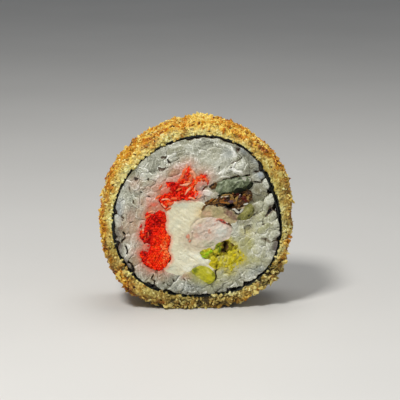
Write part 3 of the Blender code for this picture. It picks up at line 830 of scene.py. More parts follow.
def coating():
    """The coating's body with its crumbs as relief, and the loose crumbs stuck to it."""
    points, normals, cut = crust_grid()
    rows, columns = points.shape[:2]
    points, normals, cut = points.reshape(-1, 3), normals.reshape(-1, 3), cut.ravel()
    height, own, lump = crumb_relief(points)
    on_face = np.abs(normals[:, 1]) > 0.9
    on_cut = 0.62 + 0.6 * blobs(points[:, (0, 2)], CHUNKY)
    height = np.where(on_face, on_cut * height + 0.06, height)
    moves = np.linalg.norm(normals, axis=1) > 0
    points = points + normals * (height * moves)[:, None]
    points[:, 2] = np.maximum(points[:, 2], FLOOR_V)
    tone, cut, dull = crust_looks(points, cut)
    tone += 0.34 * (own - 0.5) + 0.10 * smoothstep(height / 0.4)
    dull = np.clip(dull * (1 - 1.1 * lump), 0, 1)
    cut = np.clip(cut - 0.9 * np.maximum(lump, 0), 0, 1)
    # How strongly shade is painted into the hollows between the crumbs
    hollow = smoothstep(-(height + 0.05) / 0.40)
    index = np.arange(rows * columns).reshape(rows, columns)
    down = np.roll(index, -1, 0)
    quads = np.stack((index, np.roll(index, -1, 1), np.roll(down, -1, 1), down), -1).reshape(-1, 4)
    paint = crust_paint()
    attributes = {"tone": tone, "cut": cut, "dull": dull, "hollow": hollow}
    body = make_piece("coating_crust", points, {4: quads}, paint, attributes)
    loose_crumbs(points, quads, cut, on_face, moves, paint)
    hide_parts("coating")


def crumb_shapes(draw):
    """A few angular crumbs of different build."""
    verts, tris = ball(3, 6)
    shapes = []
    for _ in range(CRUMB_KINDS):
        bent = verts * (1 + draw.uniform(-0.35, 0.35, (len(verts), 1)))
        bent *= (1.0, draw.uniform(0.4, 0.75), draw.uniform(0.28, 0.5))
        shapes.append(bent + draw.uniform(-0.12, 0.12, bent.shape))
    return shapes, tris


def loose_crumbs(points, quads, cut, on_face, moves, paint):
    """Small crumbs all over the coating, as one mesh."""
    draw = np.random.default_rng(3)
    corners = points[quads]
    across = np.cross(corners[:, 2] - corners[:, 0], corners[:, 3] - corners[:, 1])
    area = np.linalg.norm(across, axis=1)
    normal = across / area[:, None]
    middle = corners.mean(1)
    weight = area * moves[quads].all(1) * (middle[:, 2] > FLOOR_V + 0.1)
    by_sheet = smoothstep(1 + (wrap_room(middle[:, (0, 2)]) + 0.3) / 0.7)
    weight *= 1 + 2.0 * on_face[quads].all(1) * by_sheet
    chosen = draw.choice(len(quads), CRUMBS, p=weight / weight.sum())
    shapes, tris = crumb_shapes(draw)
    tone, cut, dull = crust_looks(middle[chosen], cut[quads[chosen, 0]])
    chunky = blobs(middle[chosen][:, (0, 2)], CHUNKY)
    tone -= 0.08 * chunky
    heap = Heap()
    for number, face in enumerate(chosen):
        length = min(CRUMB_LENGTH * math.exp(draw.normal(0, 0.35)), CRUMB_LONGEST)
        if on_face[quads[face]].all():
            length *= 0.75
        length *= 1 + 0.5 * chunky[number]
        way = draw.normal(size=3)
        flat = way - normal[face] * (way @ normal[face])
        flat += normal[face] * draw.normal(0, 0.6 + 0.7 * chunky[number]) * np.linalg.norm(flat)
        body = turned(shapes[draw.integers(len(shapes))] * length, flat, draw.uniform(0, 6.28))
        body = body + middle[face] + normal[face] * length * draw.uniform(-0.2, 0.35)
        body[:, 2] = np.maximum(body[:, 2], FLOOR_V)
        heap.add(body, tris, tone=tone[number] + draw.normal(-0.04, 0.28), cut=cut[number],
                 dull=dull[number])
    return heap.piece("coating_crumbs", paint, smooth=False, hollow=np.zeros(heap.count))


# The seaweed

SHEET_STEPS = 700
# How thick the sheet is at its cut edges, as a share
EDGE_THIN = 0.45
# Rows of (amount, size, seed) for waves()
SHEET_WAVES = ((0.10, 2.6, 3), (0.05, 0.9, 4))
SHEET_THICKER = ((0.45, 1.7, 8),)
SHEET_EDGE = ((0.18, 1.6, 6),)
# Where its rows of points are, from the front edge to the back one
SHEET_DEPTHS = (-1, -0.985, -0.94, -0.8, -0.4, 0, 0.4, 0.8, 0.94, 0.985, 1)
# Where the sheet's cut edge is thicker or thinner: (bearing, half width in degrees, share)
SHEET_SWELLS = (
    (86, 26, 0.6), (132, 28, -0.65), (186, 20, 0.6), (228, 24, 0.2), (258, 22, -0.5),
    (287, 8, -0.5), (20, 40, 0.3), (336, 20, -0.35), (186, 10, 0.3),
)


def seaweed():
    """The rolled sheet, thin and wavy along its cut edges."""
    angle = np.linspace(0, 2 * math.pi + SHEET_OVERLAP, SHEET_STEPS)
    around = lifted(circle(angle) * 26, angle * 4)
    middle = waves(around, SHEET_WAVES, wrap_radius(angle) - sheet_dip(angle))
    half = waves(around, SHEET_THICKER, 0.8) + swells(np.degrees(angle), SHEET_SWELLS)
    half = SHEET_HALF * np.maximum(half, 0.15)
    rows = []
    for face in (1, -1):
        for share in SHEET_DEPTHS[::face]:
            edge = waves(around + (0, share * 30, 0), SHEET_EDGE, HALF_DEPTH - 0.12)
            thin = EDGE_THIN if abs(share) == 1 else 1.0
            rows.append(lifted(around_wrap(angle, middle + face * half * thin), share * edge))
    count = len(rows)
    index = np.arange(count * SHEET_STEPS).reshape(count, SHEET_STEPS)
    below = np.roll(index, -1, 0)
    quads = np.stack((index[:, :-1], index[:, 1:], below[:, 1:], below[:, :-1]), -1).reshape(-1, 4)
    ends = [(ring[k], ring[k + 1], ring[count - 2 - k], ring[count - 1 - k])
            for ring in (index[:, 0], index[::-1, -1]) for k in range(count // 2 - 1)]
    piece = make_piece("seaweed_sheet", np.concatenate(rows), {4: np.concatenate((quads, ends))},
                       seaweed_paint())
    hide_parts("seaweed")


# How the cut face divides between the fillings and the rice

FILLINGS = (
    "roe_slab", "roe_cluster", "eel_slab", "eel_fold", "eel_glazed", "shrimp", "eel_flesh",
    "avocado_upper", "avocado_lower", "cream_cheese",
)
RICE = len(FILLINGS)
# How far the fillings' outlines are moved out, and how far apart the mesh points are in the
# fillings and in the rice
GROWTH = 0.19
FILLING_STEP = 0.24
RICE_STEP = 0.215
LIMIT_STEPS = 420
# Patches with less area go to their neighbour, and edges over this angle in degrees stay sharp
SCRAP_AREA = 3.0
RIM_SHARP = 65
OUTLINE_STEP = 0.3
# How ragged an outline is: (amount, size)
PLAIN_RAGGED = (0.10, 1.8)
RAGGED = {
    "eel_glazed": (0.30, 1.1), "avocado_upper": (0.32, 1.3), "roe_slab": (0.34, 1.3),
    "roe_cluster": (0.30, 1.3), "cream_cheese": (0.22, 1.6), "shrimp": (0.20, 1.4),
    "eel_flesh": (0.2, 1.2),
}

Layout = namedtuple("Layout", "points tris owner loops")


def filling_outlines():
    """Each filling's outline in the solid, made finer and more ragged."""
    loops = {}
    for seed, name in enumerate(FILLINGS):
        loop = finer(wall_loop(name), OUTLINE_STEP)
        amount, size = RAGGED.get(name, PLAIN_RAGGED)
        places = lifted(loop, 7.0 * seed)
        grown = GROWTH + amount * (noise(places, size, 60) + 0.6 * noise(places, 0.5 * size, 59))
        loops[name] = loop + loop_normals(loop) * grown[:, None]
    return loops


def lay_out_face():
    """One fine mesh over the whole face inside the seaweed, with an owner for each triangle."""
    loops = filling_outlines()
    angles = np.linspace(0, 2 * math.pi, LIMIT_STEPS, endpoint=False)
    limit = around_wrap(angles, rice_limit(angles))
    draw = np.random.default_rng(17)
    borders = [limit, *loops.values()]
    fine = hex_points(limit.min(0), limit.max(0), FILLING_STEP, draw)
    filled = np.any([inside(loop, fine) for loop in loops.values()], axis=0)
    coarse = hex_points(limit.min(0), limit.max(0), RICE_STEP, draw)
    coarse = coarse[~np.any([inside(loop, coarse) for loop in loops.values()], axis=0)]
    coarse = coarse[wrap_room(coarse) > 0.2]
    inner = np.concatenate((fine[filled], coarse))
    inner = inner[nearest(inner, np.concatenate(borders)) > 0.5 * FILLING_STEP]
    points, edges = [], []
    for loop in borders:
        first, count = len(points), len(loop)
        points += [Vector(p) for p in loop]
        edges += [(first + i, first + (i + 1) % count) for i in range(count)]
    points += [Vector(p) for p in inner]
    found, _, faces, *_ = delaunay_2d_cdt(points, edges, [], 0, 1e-4)
    found = np.array(found)
    tris = np.array([f for f in faces if len(f) == 3])
    middle = found[tris].mean(1)
    kept = inside(limit, middle)
    tris, middle = tris[kept], middle[kept]
    owner = np.full(len(tris), RICE)
    for number in range(RICE - 1, -1, -1):
        owner[inside(loops[FILLINGS[number]], middle)] = number
    return Layout(found, tris, without_scraps(found, tris, owner), loops)


def without_scraps(points, tris, owner):
    """Gives every small cut-off patch to the neighbour that it touches."""
    edges = np.sort(tri_edges(tris), 1)
    face = np.tile(np.arange(len(tris)), 3)
    order = np.lexsort((edges[:, 1], edges[:, 0]))
    edges, face = edges[order], face[order]
    same = np.all(edges[1:] == edges[:-1], axis=1)
    a, b = face[:-1][same], face[1:][same]
    area = 0.5 * np.abs(turns(points, tris))
    for _ in range(3):
        alike = owner[a] == owner[b]
        label = np.arange(len(tris))
        while True:
            low = np.minimum(label[a[alike]], label[b[alike]])
            before = label.copy()
            np.minimum.at(label, a[alike], low)
            np.minimum.at(label, b[alike], low)
            label = label[label]
            if np.array_equal(before, label):
                break
        size = np.bincount(label, area, len(tris))[label]
        scrap_a = ~alike & (size[a] < SCRAP_AREA) & (size[b] > size[a])
        scrap_b = ~alike & (size[b] < SCRAP_AREA) & (size[a] > size[b])
        fresh = owner.copy()
        for near, far in ((a[scrap_a], b[scrap_a]), (b[scrap_b], a[scrap_b])):
            for i, j in zip(near, far):
                fresh[label == label[i]] = owner[j]
        owner = fresh
    return owner


def region(layout, number):
    """One owner's part of the face: its points, its triangles and the points on its edge."""
    tris = layout.tris[layout.owner == number]
    used, tris = np.unique(tris, return_inverse=True)
    points, tris = layout.points[used], tris.reshape(-1, 3)
    return points, tris, points[np.unique(rim_edges(tris))]


# The fillings

# A filling's shape, in millimetres:
# proud: how far its face stands over the cut
# edge: how wide the border is over which it comes to its neighbour's height
# waves: rows of (size, height) of its unevenness
# fibres: (bearing, length, width, height)
# lumps and marks: rows for blobs(), lumps ending with a height and marks with a share
# lines: grooves as (depth, half width, points, the mark that colours it, if any)
Food = namedtuple("Food", "slot proud edge waves fibres lumps lines marks")
FOODS = {
    "cream_cheese": Food(
        "cream_cheese", 0.05, 0.9, ((3.6, 0.22), (1.2, 0.14)), (-38, 3.2, 0.55, 0.06),
        (
            (-7.5, 4, 2.5, 1.5, 0, 0.2), (1.6, 1.6, 3, 3, 0, -0.35), (1, -13, 6, 3, -25, 0.25),
            (-6, -16.5, 3, 1.5, 0, 0.2),
        ),
        (
            (0.13, 0.40, ((-7, 2.6), (-3.2, -0.8)), None),
            (0.12, 0.35, ((-5.2, 3.6), (-1.6, 0.6)), None),
            (0.10, 0.40, ((-8, -7), (-4, -10.4)), None),
            (0.10, 0.35, ((-5.8, -5.6), (-2.4, -8.6)), None),
            (0.20, 0.40, ((-5.6, -11.4), (0.2, -14.8)), None),
            (0.16, 0.35, ((-7.6, -12.4), (-3, -15.6)), None),
            (0.16, 0.35, ((-3, -10.6), (1.6, -13)), None),
        ),
        {
            # Whiter cheese toward the bottom, partly painted highlight
            "white": ((1, -13, 7, 3, -25, 1), (-4, -13, 5, 4, 0, 0.5), (-2.4, -16.6, 4, 2.6, 0, 1)),
            "warm": (
                (1.4, 1, 3.4, 3.4, 0, 1), (-1.2, -2.6, 2, 2.6, 0, 0.4),
                (-3.4, -17.4, 2.8, 1, 0, 0.5),
            ),
            # Painted greenish-grey shade at the top left and along the left side
            "cool_shade": (
                (-5, 4.2, 5, 2.4, 0, 0.9), (-7.8, -16.4, 2.4, 1.6, 0, 0.7),
                (-6.2, -2, 2, 3, -30, 0.3),
            ),
            "rust": ((1.9, 0.7, 0.7, 0.6, 0, 0.9), (3.2, 3, 0.8, 0.6, 0, 0.5)),
        },
    ),
    "shrimp": Food(
        "shrimp", 0.15, 0.9, ((3, 0.25), (1.1, 0.18)), (25, 2.2, 0.6, 0.14),
        (
            (7.2, -5.2, 3.4, 2.8, 15, 0.40), (-2.4, -6.6, 1.3, 1.8, 0, 0.30),
            (1.8, -4.4, 3, 3, 20, 0.30),
        ),
        (
            (0.20, 0.60, ((5.8, -2.6), (4.6, -5.2), (5, -8.4)), None),
            (0.30, 0.45, ((-1.4, -4.8), (-1.5, -6.6), (-0.8, -8)), None),
            (0.14, 0.35, ((-0.8, -4.4), (0.8, -6), (1.2, -8.2)), None),
        ),
        {
            "low": ((3.4, -8.9, 5.5, 2.2, 0, 1),),
            "white": ((7.4, -5, 3.4, 3.2, 15, 1), (6.4, -7.2, 2.4, 1.8, 0, 0.6)),
            "rosy": (
                (-2.5, -6.6, 1.7, 2.2, 0, 0.9), (-0.8, -6, 1.8, 2, 0, 0.6),
                (3.6, -4.6, 0.9, 1.4, 30, 0.7), (-0.3, -3.6, 1, 1, 40, 0.5),
                (0.8, -2.6, 1.6, 0.7, 30, 0.5),
            ),
            "red": (
                (7.9, -1.5, 2.1, 1.1, -25, 1.2), (6, -1, 1.6, 0.6, 0, 0.5),
                (9.7, -2.5, 1.2, 0.6, -25, 0.8),
            ),
            "dark": (
                (7.3, -1.6, 0.7, 0.5, 0, 0.9), (8.6, -2.2, 0.8, 0.4, -30, 0.7),
                (9.7, -2.6, 0.9, 0.4, -20, 0.8),
            ),
        },
    ),
    "eel_flesh": Food(
        "eel_flesh", 0, 0.7, ((2, 0.22), (0.8, 0.12)), (10, 2.2, 0.6, 0.16),
        ((9.8, 2.6, 2, 1.2, -20, -0.8), (12.9, 1.5, 1.6, 1.1, 20, -0.7)),
        (
            (0.35, 0.45, ((8.4, 2.6), (9, 0.6), (10.4, -0.8)), "mauve"),
            (0.20, 0.35, ((2.4, -0.2), (4.6, 0.4), (5.8, -0.4)), None),
        ),
        {
            "pink": ((3, 0.8, 2.8, 2.4, 0, 1),), "olive": ((6.8, 1.4, 3, 2, 0, 0.8),),
            # mauve is partly the flesh's colour and partly painted shade along its lower border and
            # in its groove
            "mauve": (
                (10.4, 0.6, 3.2, 1.3, -40, 1.5), (9.2, 1.6, 1.6, 1, -40, 0.9),
                (5, -1.2, 3, 0.8, 10, 0.7), (11.5, -1.2, 2, 0.8, -30, 0.9),
            ),
            # Painted shade in the hollows and between the glints
            "dark": (
                (10, 3, 2.8, 1.5, 0, 1.6), (11.8, 2.1, 2.2, 1.5, -25, 1.6),
                (12.4, -1.1, 1.3, 0.6, 0, 0.9), (12.9, 1.5, 2.3, 1.7, 20, 1.6),
            ),
        },
    ),
    "eel_slab": Food(
        "eel_skin", 0.10, 0.6, ((3.5, 0.18), (1.2, 0.14)), (58, 2.2, 0.5, 0.20),
        ((11, 10.4, 6, 1.5, 9, 0.30), (16.4, 10, 1.2, 2.2, -20, -0.5)),
        (
            (0.40, 0.40, ((12.3, 10.7), (13, 10.9)), "dark"),
            (0.40, 0.40, ((14.6, 10.5), (15.3, 10.7)), "dark"),
        ),
        {
            # Painted highlights along the skin
            "light": (
                (8.4, 10.2, 2.2, 0.6, 30, 0.4), (12.8, 11.2, 3.2, 0.7, 9, 0.9),
                (7, 8.8, 1.6, 1, 40, 0.5),
            ),
            # Painted shade under the skin's lower edge, along the rice above it and in its grooves
            "dark": (
                (10.6, 9.9, 1.6, 1.6, -20, 0.25), (6.4, 6.8, 3.6, 1, 14, 0.5),
                (9.6, 6.9, 3.6, 0.8, 6, 0.8), (13.5, 7.9, 4.4, 1.2, 10, 0.8),
                (16.6, 10, 1.3, 2.4, -20, 1), (12, 12.1, 6, 0.5, 11, 0.9),
            ),
        },
    ),
    "eel_fold": Food(
        "eel_skin", 0.10, 0.6, ((2, 0.16), (0.8, 0.10)), (50, 2.2, 0.5, 0.12), (),
        ((0.50, 0.50, ((17.4, 2.4), (17.1, 0.6), (15.8, -1.1)), "dark"),),
        {
            # light is a painted highlight; dark is painted shade along the right edge, below and in
            # the groove
            "light": ((15, 1.6, 1.1, 2.2, -40, 0.8),),
            "dark": ((17.3, 1.4, 0.8, 2.4, -10, 1), (12.8, -0.8, 1.2, 0.8, 0, 0.9)),
        },
    ),
    "eel_glazed": Food(
        "eel_glaze", -0.10, 0.5, ((1.8, 0.35), (0.8, 0.28)), (16, 2.4, 0.5, 0.35),
        (
            (10, 3.1, 2.4, 1.5, -8, -1.6), (12.6, 7.1, 3, 0.9, 5, -0.8),
            (5.3, 4.7, 1.3, 0.5, 0, -0.7), (13.9, 3, 1.3, 0.8, 20, -0.8),
        ),
        (
            (0.50, 0.45, ((6.6, 5.6), (9, 5.5), (10.6, 5.9)), "black"),
            (0.50, 0.45, ((11.2, 4), (11.4, 5.8)), "black"),
        ),
        {
            "red": ((14.5, 5.4, 1.6, 1.2, 20, 1), (6.6, 6, 1.2, 0.7, 10, 0.5)),
            "orange": ((8, 4.4, 1.7, 0.8, 0, 1), (4.6, 5.4, 1.6, 0.9, 30, 0.8)),
            "tan": (
                (10.6, 6.6, 0.6, 1.2, -40, 1), (12.1, 5.4, 1.2, 0.5, 65, 1),
                (8.6, 6.7, 1.6, 0.5, 15, 1), (15.8, 5.6, 0.5, 1.6, -30, 0.8),
            ),
            # purple is partly painted shade and partly a painted sheen; black is painted shade in
            # the hollows and grooves
            "purple": ((10.6, 4.8, 1.7, 1.1, 0, 1.1), (13.1, 6.1, 0.5, 0.9, -15, 1)),
            "black": (
                (10, 3.1, 2.9, 1.7, -8, 1.3), (12.6, 7.2, 3.2, 1, 5, 1),
                (5.3, 4.7, 1.4, 0.6, 0, 0.9), (13.9, 2.9, 1.4, 0.8, 20, 0.9),
                (7, 3.2, 1.4, 0.5, 10, 0.6),
            ),
        },
    ),
    "avocado_upper": Food(
        "avocado", 0, 0.7, ((1.8, 0.35), (0.75, 0.34)), (60, 1.6, 0.7, 0.16),
        (
            (8.8, -9.2, 1.7, 2.2, 25, -1.1), (8.2, -11.2, 1.1, 1.9, -20, -1.1),
            (10.2, -8.9, 1, 0.9, 0, -0.5), (2.8, -12, 2.2, 1.6, 0, 0.45),
            (10.6, -13.8, 2.4, 1.8, 0, 0.40), (12.6, -12.2, 1.2, 1.4, 0, 0.2),
        ),
        (
            (1.1, 0.55, ((7.4, -12.2), (6.7, -13.8), (6.3, -15.4), (5.8, -17.2)), "brown"),
            (0.8, 0.6, ((8.6, -11.6), (10.4, -10.6), (11.6, -9.2)), "brown"),
            (0.7, 0.5, ((8.9, -8.4), (8.4, -10.2), (9.6, -12.4)), "black"),
            (0.6, 0.40, ((5.2, -10.8), (5.6, -12.6), (6.8, -12.8)), "forest"),
        ),
        {
            "forest": (
                (1.2, -11.2, 1, 1.6, 20, 0.9), (4.8, -10.6, 1.4, 0.9, 0, 0.9),
                (6.2, -9.8, 1.5, 1.6, 0, 1), (3, -13.6, 2.2, 0.7, -15, 0.8),
            ),
            "green": ((2.8, -12, 2.2, 1.5, 0, 1),),
            "acid": (
                (12, -13.6, 1.5, 1.4, 0, 1), (8.6, -12.9, 1.2, 0.7, 0, 0.6),
                (4.2, -15.6, 1.6, 1.2, 0, 0.7),
            ),
            # olive is partly the fruit's own colour and partly painted shade at the cavity's rim
            # and among the crumbs
            "olive": ((10.9, -9.5, 1.6, 1.3, 0, 1), (8.6, -8.2, 3.2, 0.9, 0, 0.9)),
            # Painted shade in the cavity and along its grooves
            "brown": (
                (9, -9.4, 3, 2.6, 25, 1.5), (8.2, -11.3, 2, 2.4, -20, 1.3),
                (10.8, -9.6, 1.6, 1.4, 0, 0.9),
            ),
            # pale is partly the fruit's own colour and partly a painted highlight on the crumbs
            "pale": (
                (8.4, -13.9, 2, 1.8, 0, 0.9), (12.4, -11.6, 1.6, 1.2, 0, 0.8),
                (12.8, -13.2, 1.4, 1.6, 0, 0.8), (9.6, -16.4, 2.8, 1, 0, 0.6),
                (13.4, -13, 1, 2.6, 0, 0.6),
            ),
            # Painted shade at the cavity's darkest
            "black": ((8.5, -10.8, 0.9, 1.3, -15, 0.9), (9, -8.4, 1.4, 0.6, 0, 0.8)),
        },
    ),
    "avocado_lower": Food(
        "avocado", 0.10, 0.7, ((2.6, 0.16), (0.9, 0.14)), (-35, 3, 0.5, 0.12),
        ((5.4, -19.6, 0.7, 2.4, 8, -0.4),),
        ((0.45, 0.45, ((5.5, -17.4), (5.6, -19.4), (4.8, -20.8), (3.2, -21.3)), "forest"),),
        {
            "forest": (
                (-0.7, -17, 1.7, 1.6, 30, 1), (5.4, -19.4, 0.9, 2.8, 8, 0.9),
                (3, -21.2, 2, 0.8, -10, 0.9), (1, -16.2, 2, 0.5, 0, 0.6),
            ),
            "acid": ((3.6, -19.4, 1.8, 1.8, 0, 0.9),),
            "pale": ((0.2, -19.2, 1.6, 0.5, -42, 0.8), (3.4, -17.4, 2.2, 0.5, -35, 0.5)),
        },
    ),
}

# A filling's material: its shader's roughness, specular level, coat and depth of light in it, the
# size of its grain, its colours from dark to light, a colour for each mark, and its painted shade
# colour
Look = namedtuple("Look", "roughness specular coat depth grain ramp tints shade")
LOOKS = {
    # Painted shadow: dark strips along the eel skin's lower edge
    "eel_shadow": Look(
        0.6, 0.12, 0, (0.05, (1, 1, 0.8), 0.6), (0.8, 3, 12),
        ((0.2, (24, 28, 12)), (0.8, (70, 76, 44))), {"dark": (14, 18, 5)}, (10, 10, 4),
    ),
    "cream_cheese": Look(
        0.45, 0.3, 0, (0.25, (1, 0.9, 0.7), 0.8), (0.9, 4, -38),
        ((0.2, (212, 204, 172)), (0.5, (226, 220, 190)), (0.8, (238, 234, 208))),
        {
            "cool_shade": (198, 205, 186), "warm": (224, 196, 138), "white": (238, 238, 218),
            "rust": (200, 108, 40), "blush": (232, 150, 120), "melt": (212, 198, 170),
        },
        (178, 164, 132),
    ),
    "shrimp": Look(
        0.36, 0.4, 0, (0.2, (1, 0.75, 0.6), 0.6), (0.9, 1.8, 35),
        ((0.2, (188, 162, 142)), (0.5, (214, 196, 178)), (0.8, (232, 218, 206))),
        {
            "low": (174, 176, 142), "white": (210, 212, 200), "rosy": (206, 138, 108),
            "red": (196, 56, 30), "dark": (64, 20, 8), "melt": (212, 198, 170),
        },
        (128, 92, 74),
    ),
    "roe_strands": Look(
        0.3, 0.35, 0.1, (0.2, (1, 0.4, 0.2), 0.8), (0.8, 2, 60),
        ((0.2, (196, 70, 30)), (0.8, (236, 128, 84))),
        {"orange": (232, 100, 44), "pale": (240, 166, 128), "red": (190, 18, 4)}, (120, 20, 6),
    ),
    "eel_flesh": Look(
        0.38, 0.5, 0.1, (0.25, (1, 0.8, 0.5), 1), (1, 2, 10),
        ((0.2, (150, 128, 84)), (0.8, (206, 190, 146))),
        {
            "pink": (200, 162, 128), "olive": (158, 150, 100), "mauve": (130, 96, 78),
            "dark": (50, 38, 20),
        },
        (70, 54, 30),
    ),
    "eel_slab": Look(
        0.26, 0.4, 0.1, (0.08, (1, 1, 0.8), 0.6), (0.6, 4, 55),
        ((0.2, (44, 54, 29)), (0.5, (102, 112, 79)), (0.8, (178, 186, 156))),
        {"light": (190, 198, 170), "dark": (22, 28, 10)}, (22, 24, 12),
    ),
    "eel_fold": Look(
        0.28, 0.4, 0.1, (0.08, (1, 1, 0.7), 0.6), (0.6, 2.5, 50),
        ((0.2, (100, 98, 36)), (0.8, (150, 146, 72))),
        {"light": (170, 166, 100), "dark": (18, 16, 4)}, (26, 22, 8),
    ),
    "eel_glazed": Look(
        0.3, 0.25, 0.05, (0.05, (1, 0.5, 0.2), 0.8), (0.6, 2.4, 16),
        ((0.3, (20, 8, 1)), (0.5, (76, 46, 10)), (0.75, (156, 110, 44))),
        {
            "red": (88, 14, 0), "orange": (150, 90, 22), "tan": (156, 124, 66),
            # The glints' colour is a painted highlight
            "purple": (100, 74, 78), "black": (8, 4, 2), "painted_glint": (222, 206, 184),
            "gold": (150, 108, 40),
        },
        (14, 8, 4),
    ),
    "avocado_upper": Look(
        0.42, 0.25, 0, (0.25, (1, 1, 0.3), 1), (0.8, 1.6, 60),
        ((0.2, (146, 130, 4)), (0.5, (204, 190, 26)), (0.8, (240, 230, 98))),
        {
            "forest": (84, 114, 0), "green": (146, 188, 10), "acid": (202, 184, 0),
            "olive": (132, 120, 6), "pale": (208, 198, 116), "brown": (74, 42, 2),
            "black": (24, 11, 0),
        },
        (50, 36, 2),
    ),
    "avocado_lower": Look(
        0.36, 0.3, 0, (0.12, (1, 1, 0.2), 0.7), (0.8, 3, -35),
        ((0.2, (164, 162, 16)), (0.8, (210, 204, 56))),
        {"forest": (106, 116, 0), "acid": (196, 188, 4), "pale": (222, 218, 136)}, (70, 70, 20),
    ),
}
COAT_ROUGHNESS = 0.12
# How far a filling's roughness goes below and over its look's
GLOSS_RANGE = (-0.08, 0.14)
# How far the roe tints the cream cheese, and how far right cheese and shrimp melt together
BLUSH_REACH = 1.3
MELT_RIGHT = 5.5

# Flakes and strands that lie on the fillings: (u, v, bearing, length, width, rise, mark); flakes
# marked for glints are painted highlights, and the dark strips along the eel skin's lower edge are
# painted shadow
FLAKES_OF_EEL = (
    (4.5, 9.9, 55, 2.4, 1.3, -0.30, "black"), (5.6, 10.3, 75, 2, 1.1, -0.25, "plain"),
    (5, 9.2, 15, 2.4, 1.2, -0.30, "plain"), (1.9, 8.5, 70, 2, 0.7, -0.05, "red"),
    (2.6, 9.3, 35, 1.7, 0.7, -0.05, "plain"), (8.1, 4.4, 4, 2.4, 0.7, -0.15, "orange"),
    (7.6, 5.1, 14, 1.8, 0.5, -0.15, "orange"), (4.8, 5.6, 38, 2.8, 1.1, -0.15, "orange"),
    (10.5, 6.6, -48, 2.8, 0.8, 0, "tan"), (12.2, 5.4, 68, 2.8, 0.8, 0, "tan"),
    (8.6, 6.7, 15, 3.2, 0.8, 0, "tan"), (14.3, 5.8, 30, 2.2, 1.2, -0.10, "red"),
    (15.1, 4.9, -30, 1.9, 1, -0.10, "red"), (13.1, 6.1, 75, 1.8, 0.6, 0, "purple"),
    (15.8, 5.9, 62, 2.8, 0.7, 0, "tan"), (2.9, 3.7, 32, 3.2, 0.8, -0.1, "plain"),
    (1.9, 2.6, 55, 1.8, 0.7, -0.1, "plain"), (9.8, -2.5, -22, 1.9, 0.7, -0.05, "plain"),
    (12.1, 3.5, 75, 2.2, 1.3, -0.3, "plain"), (6.4, 5.2, 20, 2.2, 0.9, -0.2, "plain"),
    (8.9, 6.3, 10, 1.6, 0.4, 0.1, "painted_glint"), (7.7, 6.1, 30, 0.9, 0.35, 0.1, "painted_glint"),
    (13.1, 6.6, 70, 0.9, 0.35, 0.1, "painted_glint"), (10.8, 4.7, 10, 2.4, 1.1, -0.1, "purple"),
    (12, 4.2, 80, 2.4, 1, -0.1, "gold"), (6.2, 5.9, 40, 0.9, 0.35, 0.05, "painted_glint"),
    (10.7, 7.3, 0, 1.6, 0.4, 0.05, "gold"), (13, 4.6, 20, 1.8, 0.5, -0.05, "gold"),
    (5.6, 5, 30, 2, 0.5, 0, "gold"), (9.4, 4.1, -5, 1.6, 0.5, 0, "gold"),
    (14.8, 6.4, -40, 1.6, 0.5, -0.05, "gold"),
)
STRANDS_OF_ROE = (
    (-4.3, 13.4, 66, 4.8, 1.4, -0.15, "orange"), (-2.8, 14, 88, 4.4, 1, -0.2, "red"),
    (-1.1, 13.1, -58, 3.8, 1.5, -0.1, "pale"), (-3.4, 15.2, 75, 2.8, 0.8, -0.1, "pale"),
    (-2.3, 15.2, 110, 2.6, 0.8, -0.15, "orange"), (-2, 11.9, 60, 2.6, 1.1, 0, "plain"),
    (-5.2, 11.6, 35, 3, 1.1, -0.1, "plain"), (-3.6, 12, 100, 2.6, 1, 0, "red"),
    (1, 12.5, 15, 2.8, 1.1, -0.15, "orange"), (2.7, 11.6, -62, 2.8, 1, -0.15, "orange"),
    (2.3, 13, 5, 2, 0.7, -0.2, "red"), (1.7, 11.4, 70, 2, 0.8, -0.1, "plain"),
    (3.4, 10.6, 80, 2, 0.7, -0.2, "red"), (-3.5, 10.2, 12, 3.8, 0.9, 0.15, "pale"),
    (-2.9, 8.4, 50, 3.4, 0.7, 0.2, "pale"), (-9.6, 5.6, -5, 3.2, 0.6, 0.1, "pale"),
    (-8.4, 4.2, 12, 2.6, 1.2, 0, "orange"), (-10.4, 3.6, -40, 2, 0.7, 0, "pale"),
    (-9, 2.5, 30, 2.2, 0.8, 0, "orange"), (0.6, 6.3, 40, 2, 0.6, 0.1, "pale"),
    (-0.8, 9, 70, 2, 0.6, 0.1, "pale"), (-5.6, 8.8, 20, 2.4, 0.6, 0.2, "orange"),
    (-6.8, 6, 10, 3, 0.8, 0.15, "orange"), (-1.6, 5.8, -20, 2.4, 0.7, 0.1, "pale"),
    (-12.2, 6.2, 40, 2.6, 0.7, -0.1, "orange"), (-16.9, -4.6, 75, 2, 0.9, -0.2, "pale"),
    (-16.2, -6.8, 100, 2.2, 0.8, -0.1, "orange"), (-15.4, 0.2, 40, 2.2, 0.8, -0.1, "orange"),
    (-17.6, -2.8, 50, 1.5, 0.8, -0.1, "red"), (-15.6, -14, -50, 2.2, 0.9, -0.1, "orange"),
    (-16.6, -11.4, 80, 1.8, 0.8, -0.1, "red"), (-14.6, 1.6, 20, 1.8, 0.6, 0, "pale"),
    (-15.3, -5.6, 85, 2, 0.5, 0.05, "orange"), (-11.4, 9.4, 50, 2, 0.5, 0.1, "orange"),
    (-8.3, 8.6, 110, 2.2, 0.5, 0.1, "orange"),
)
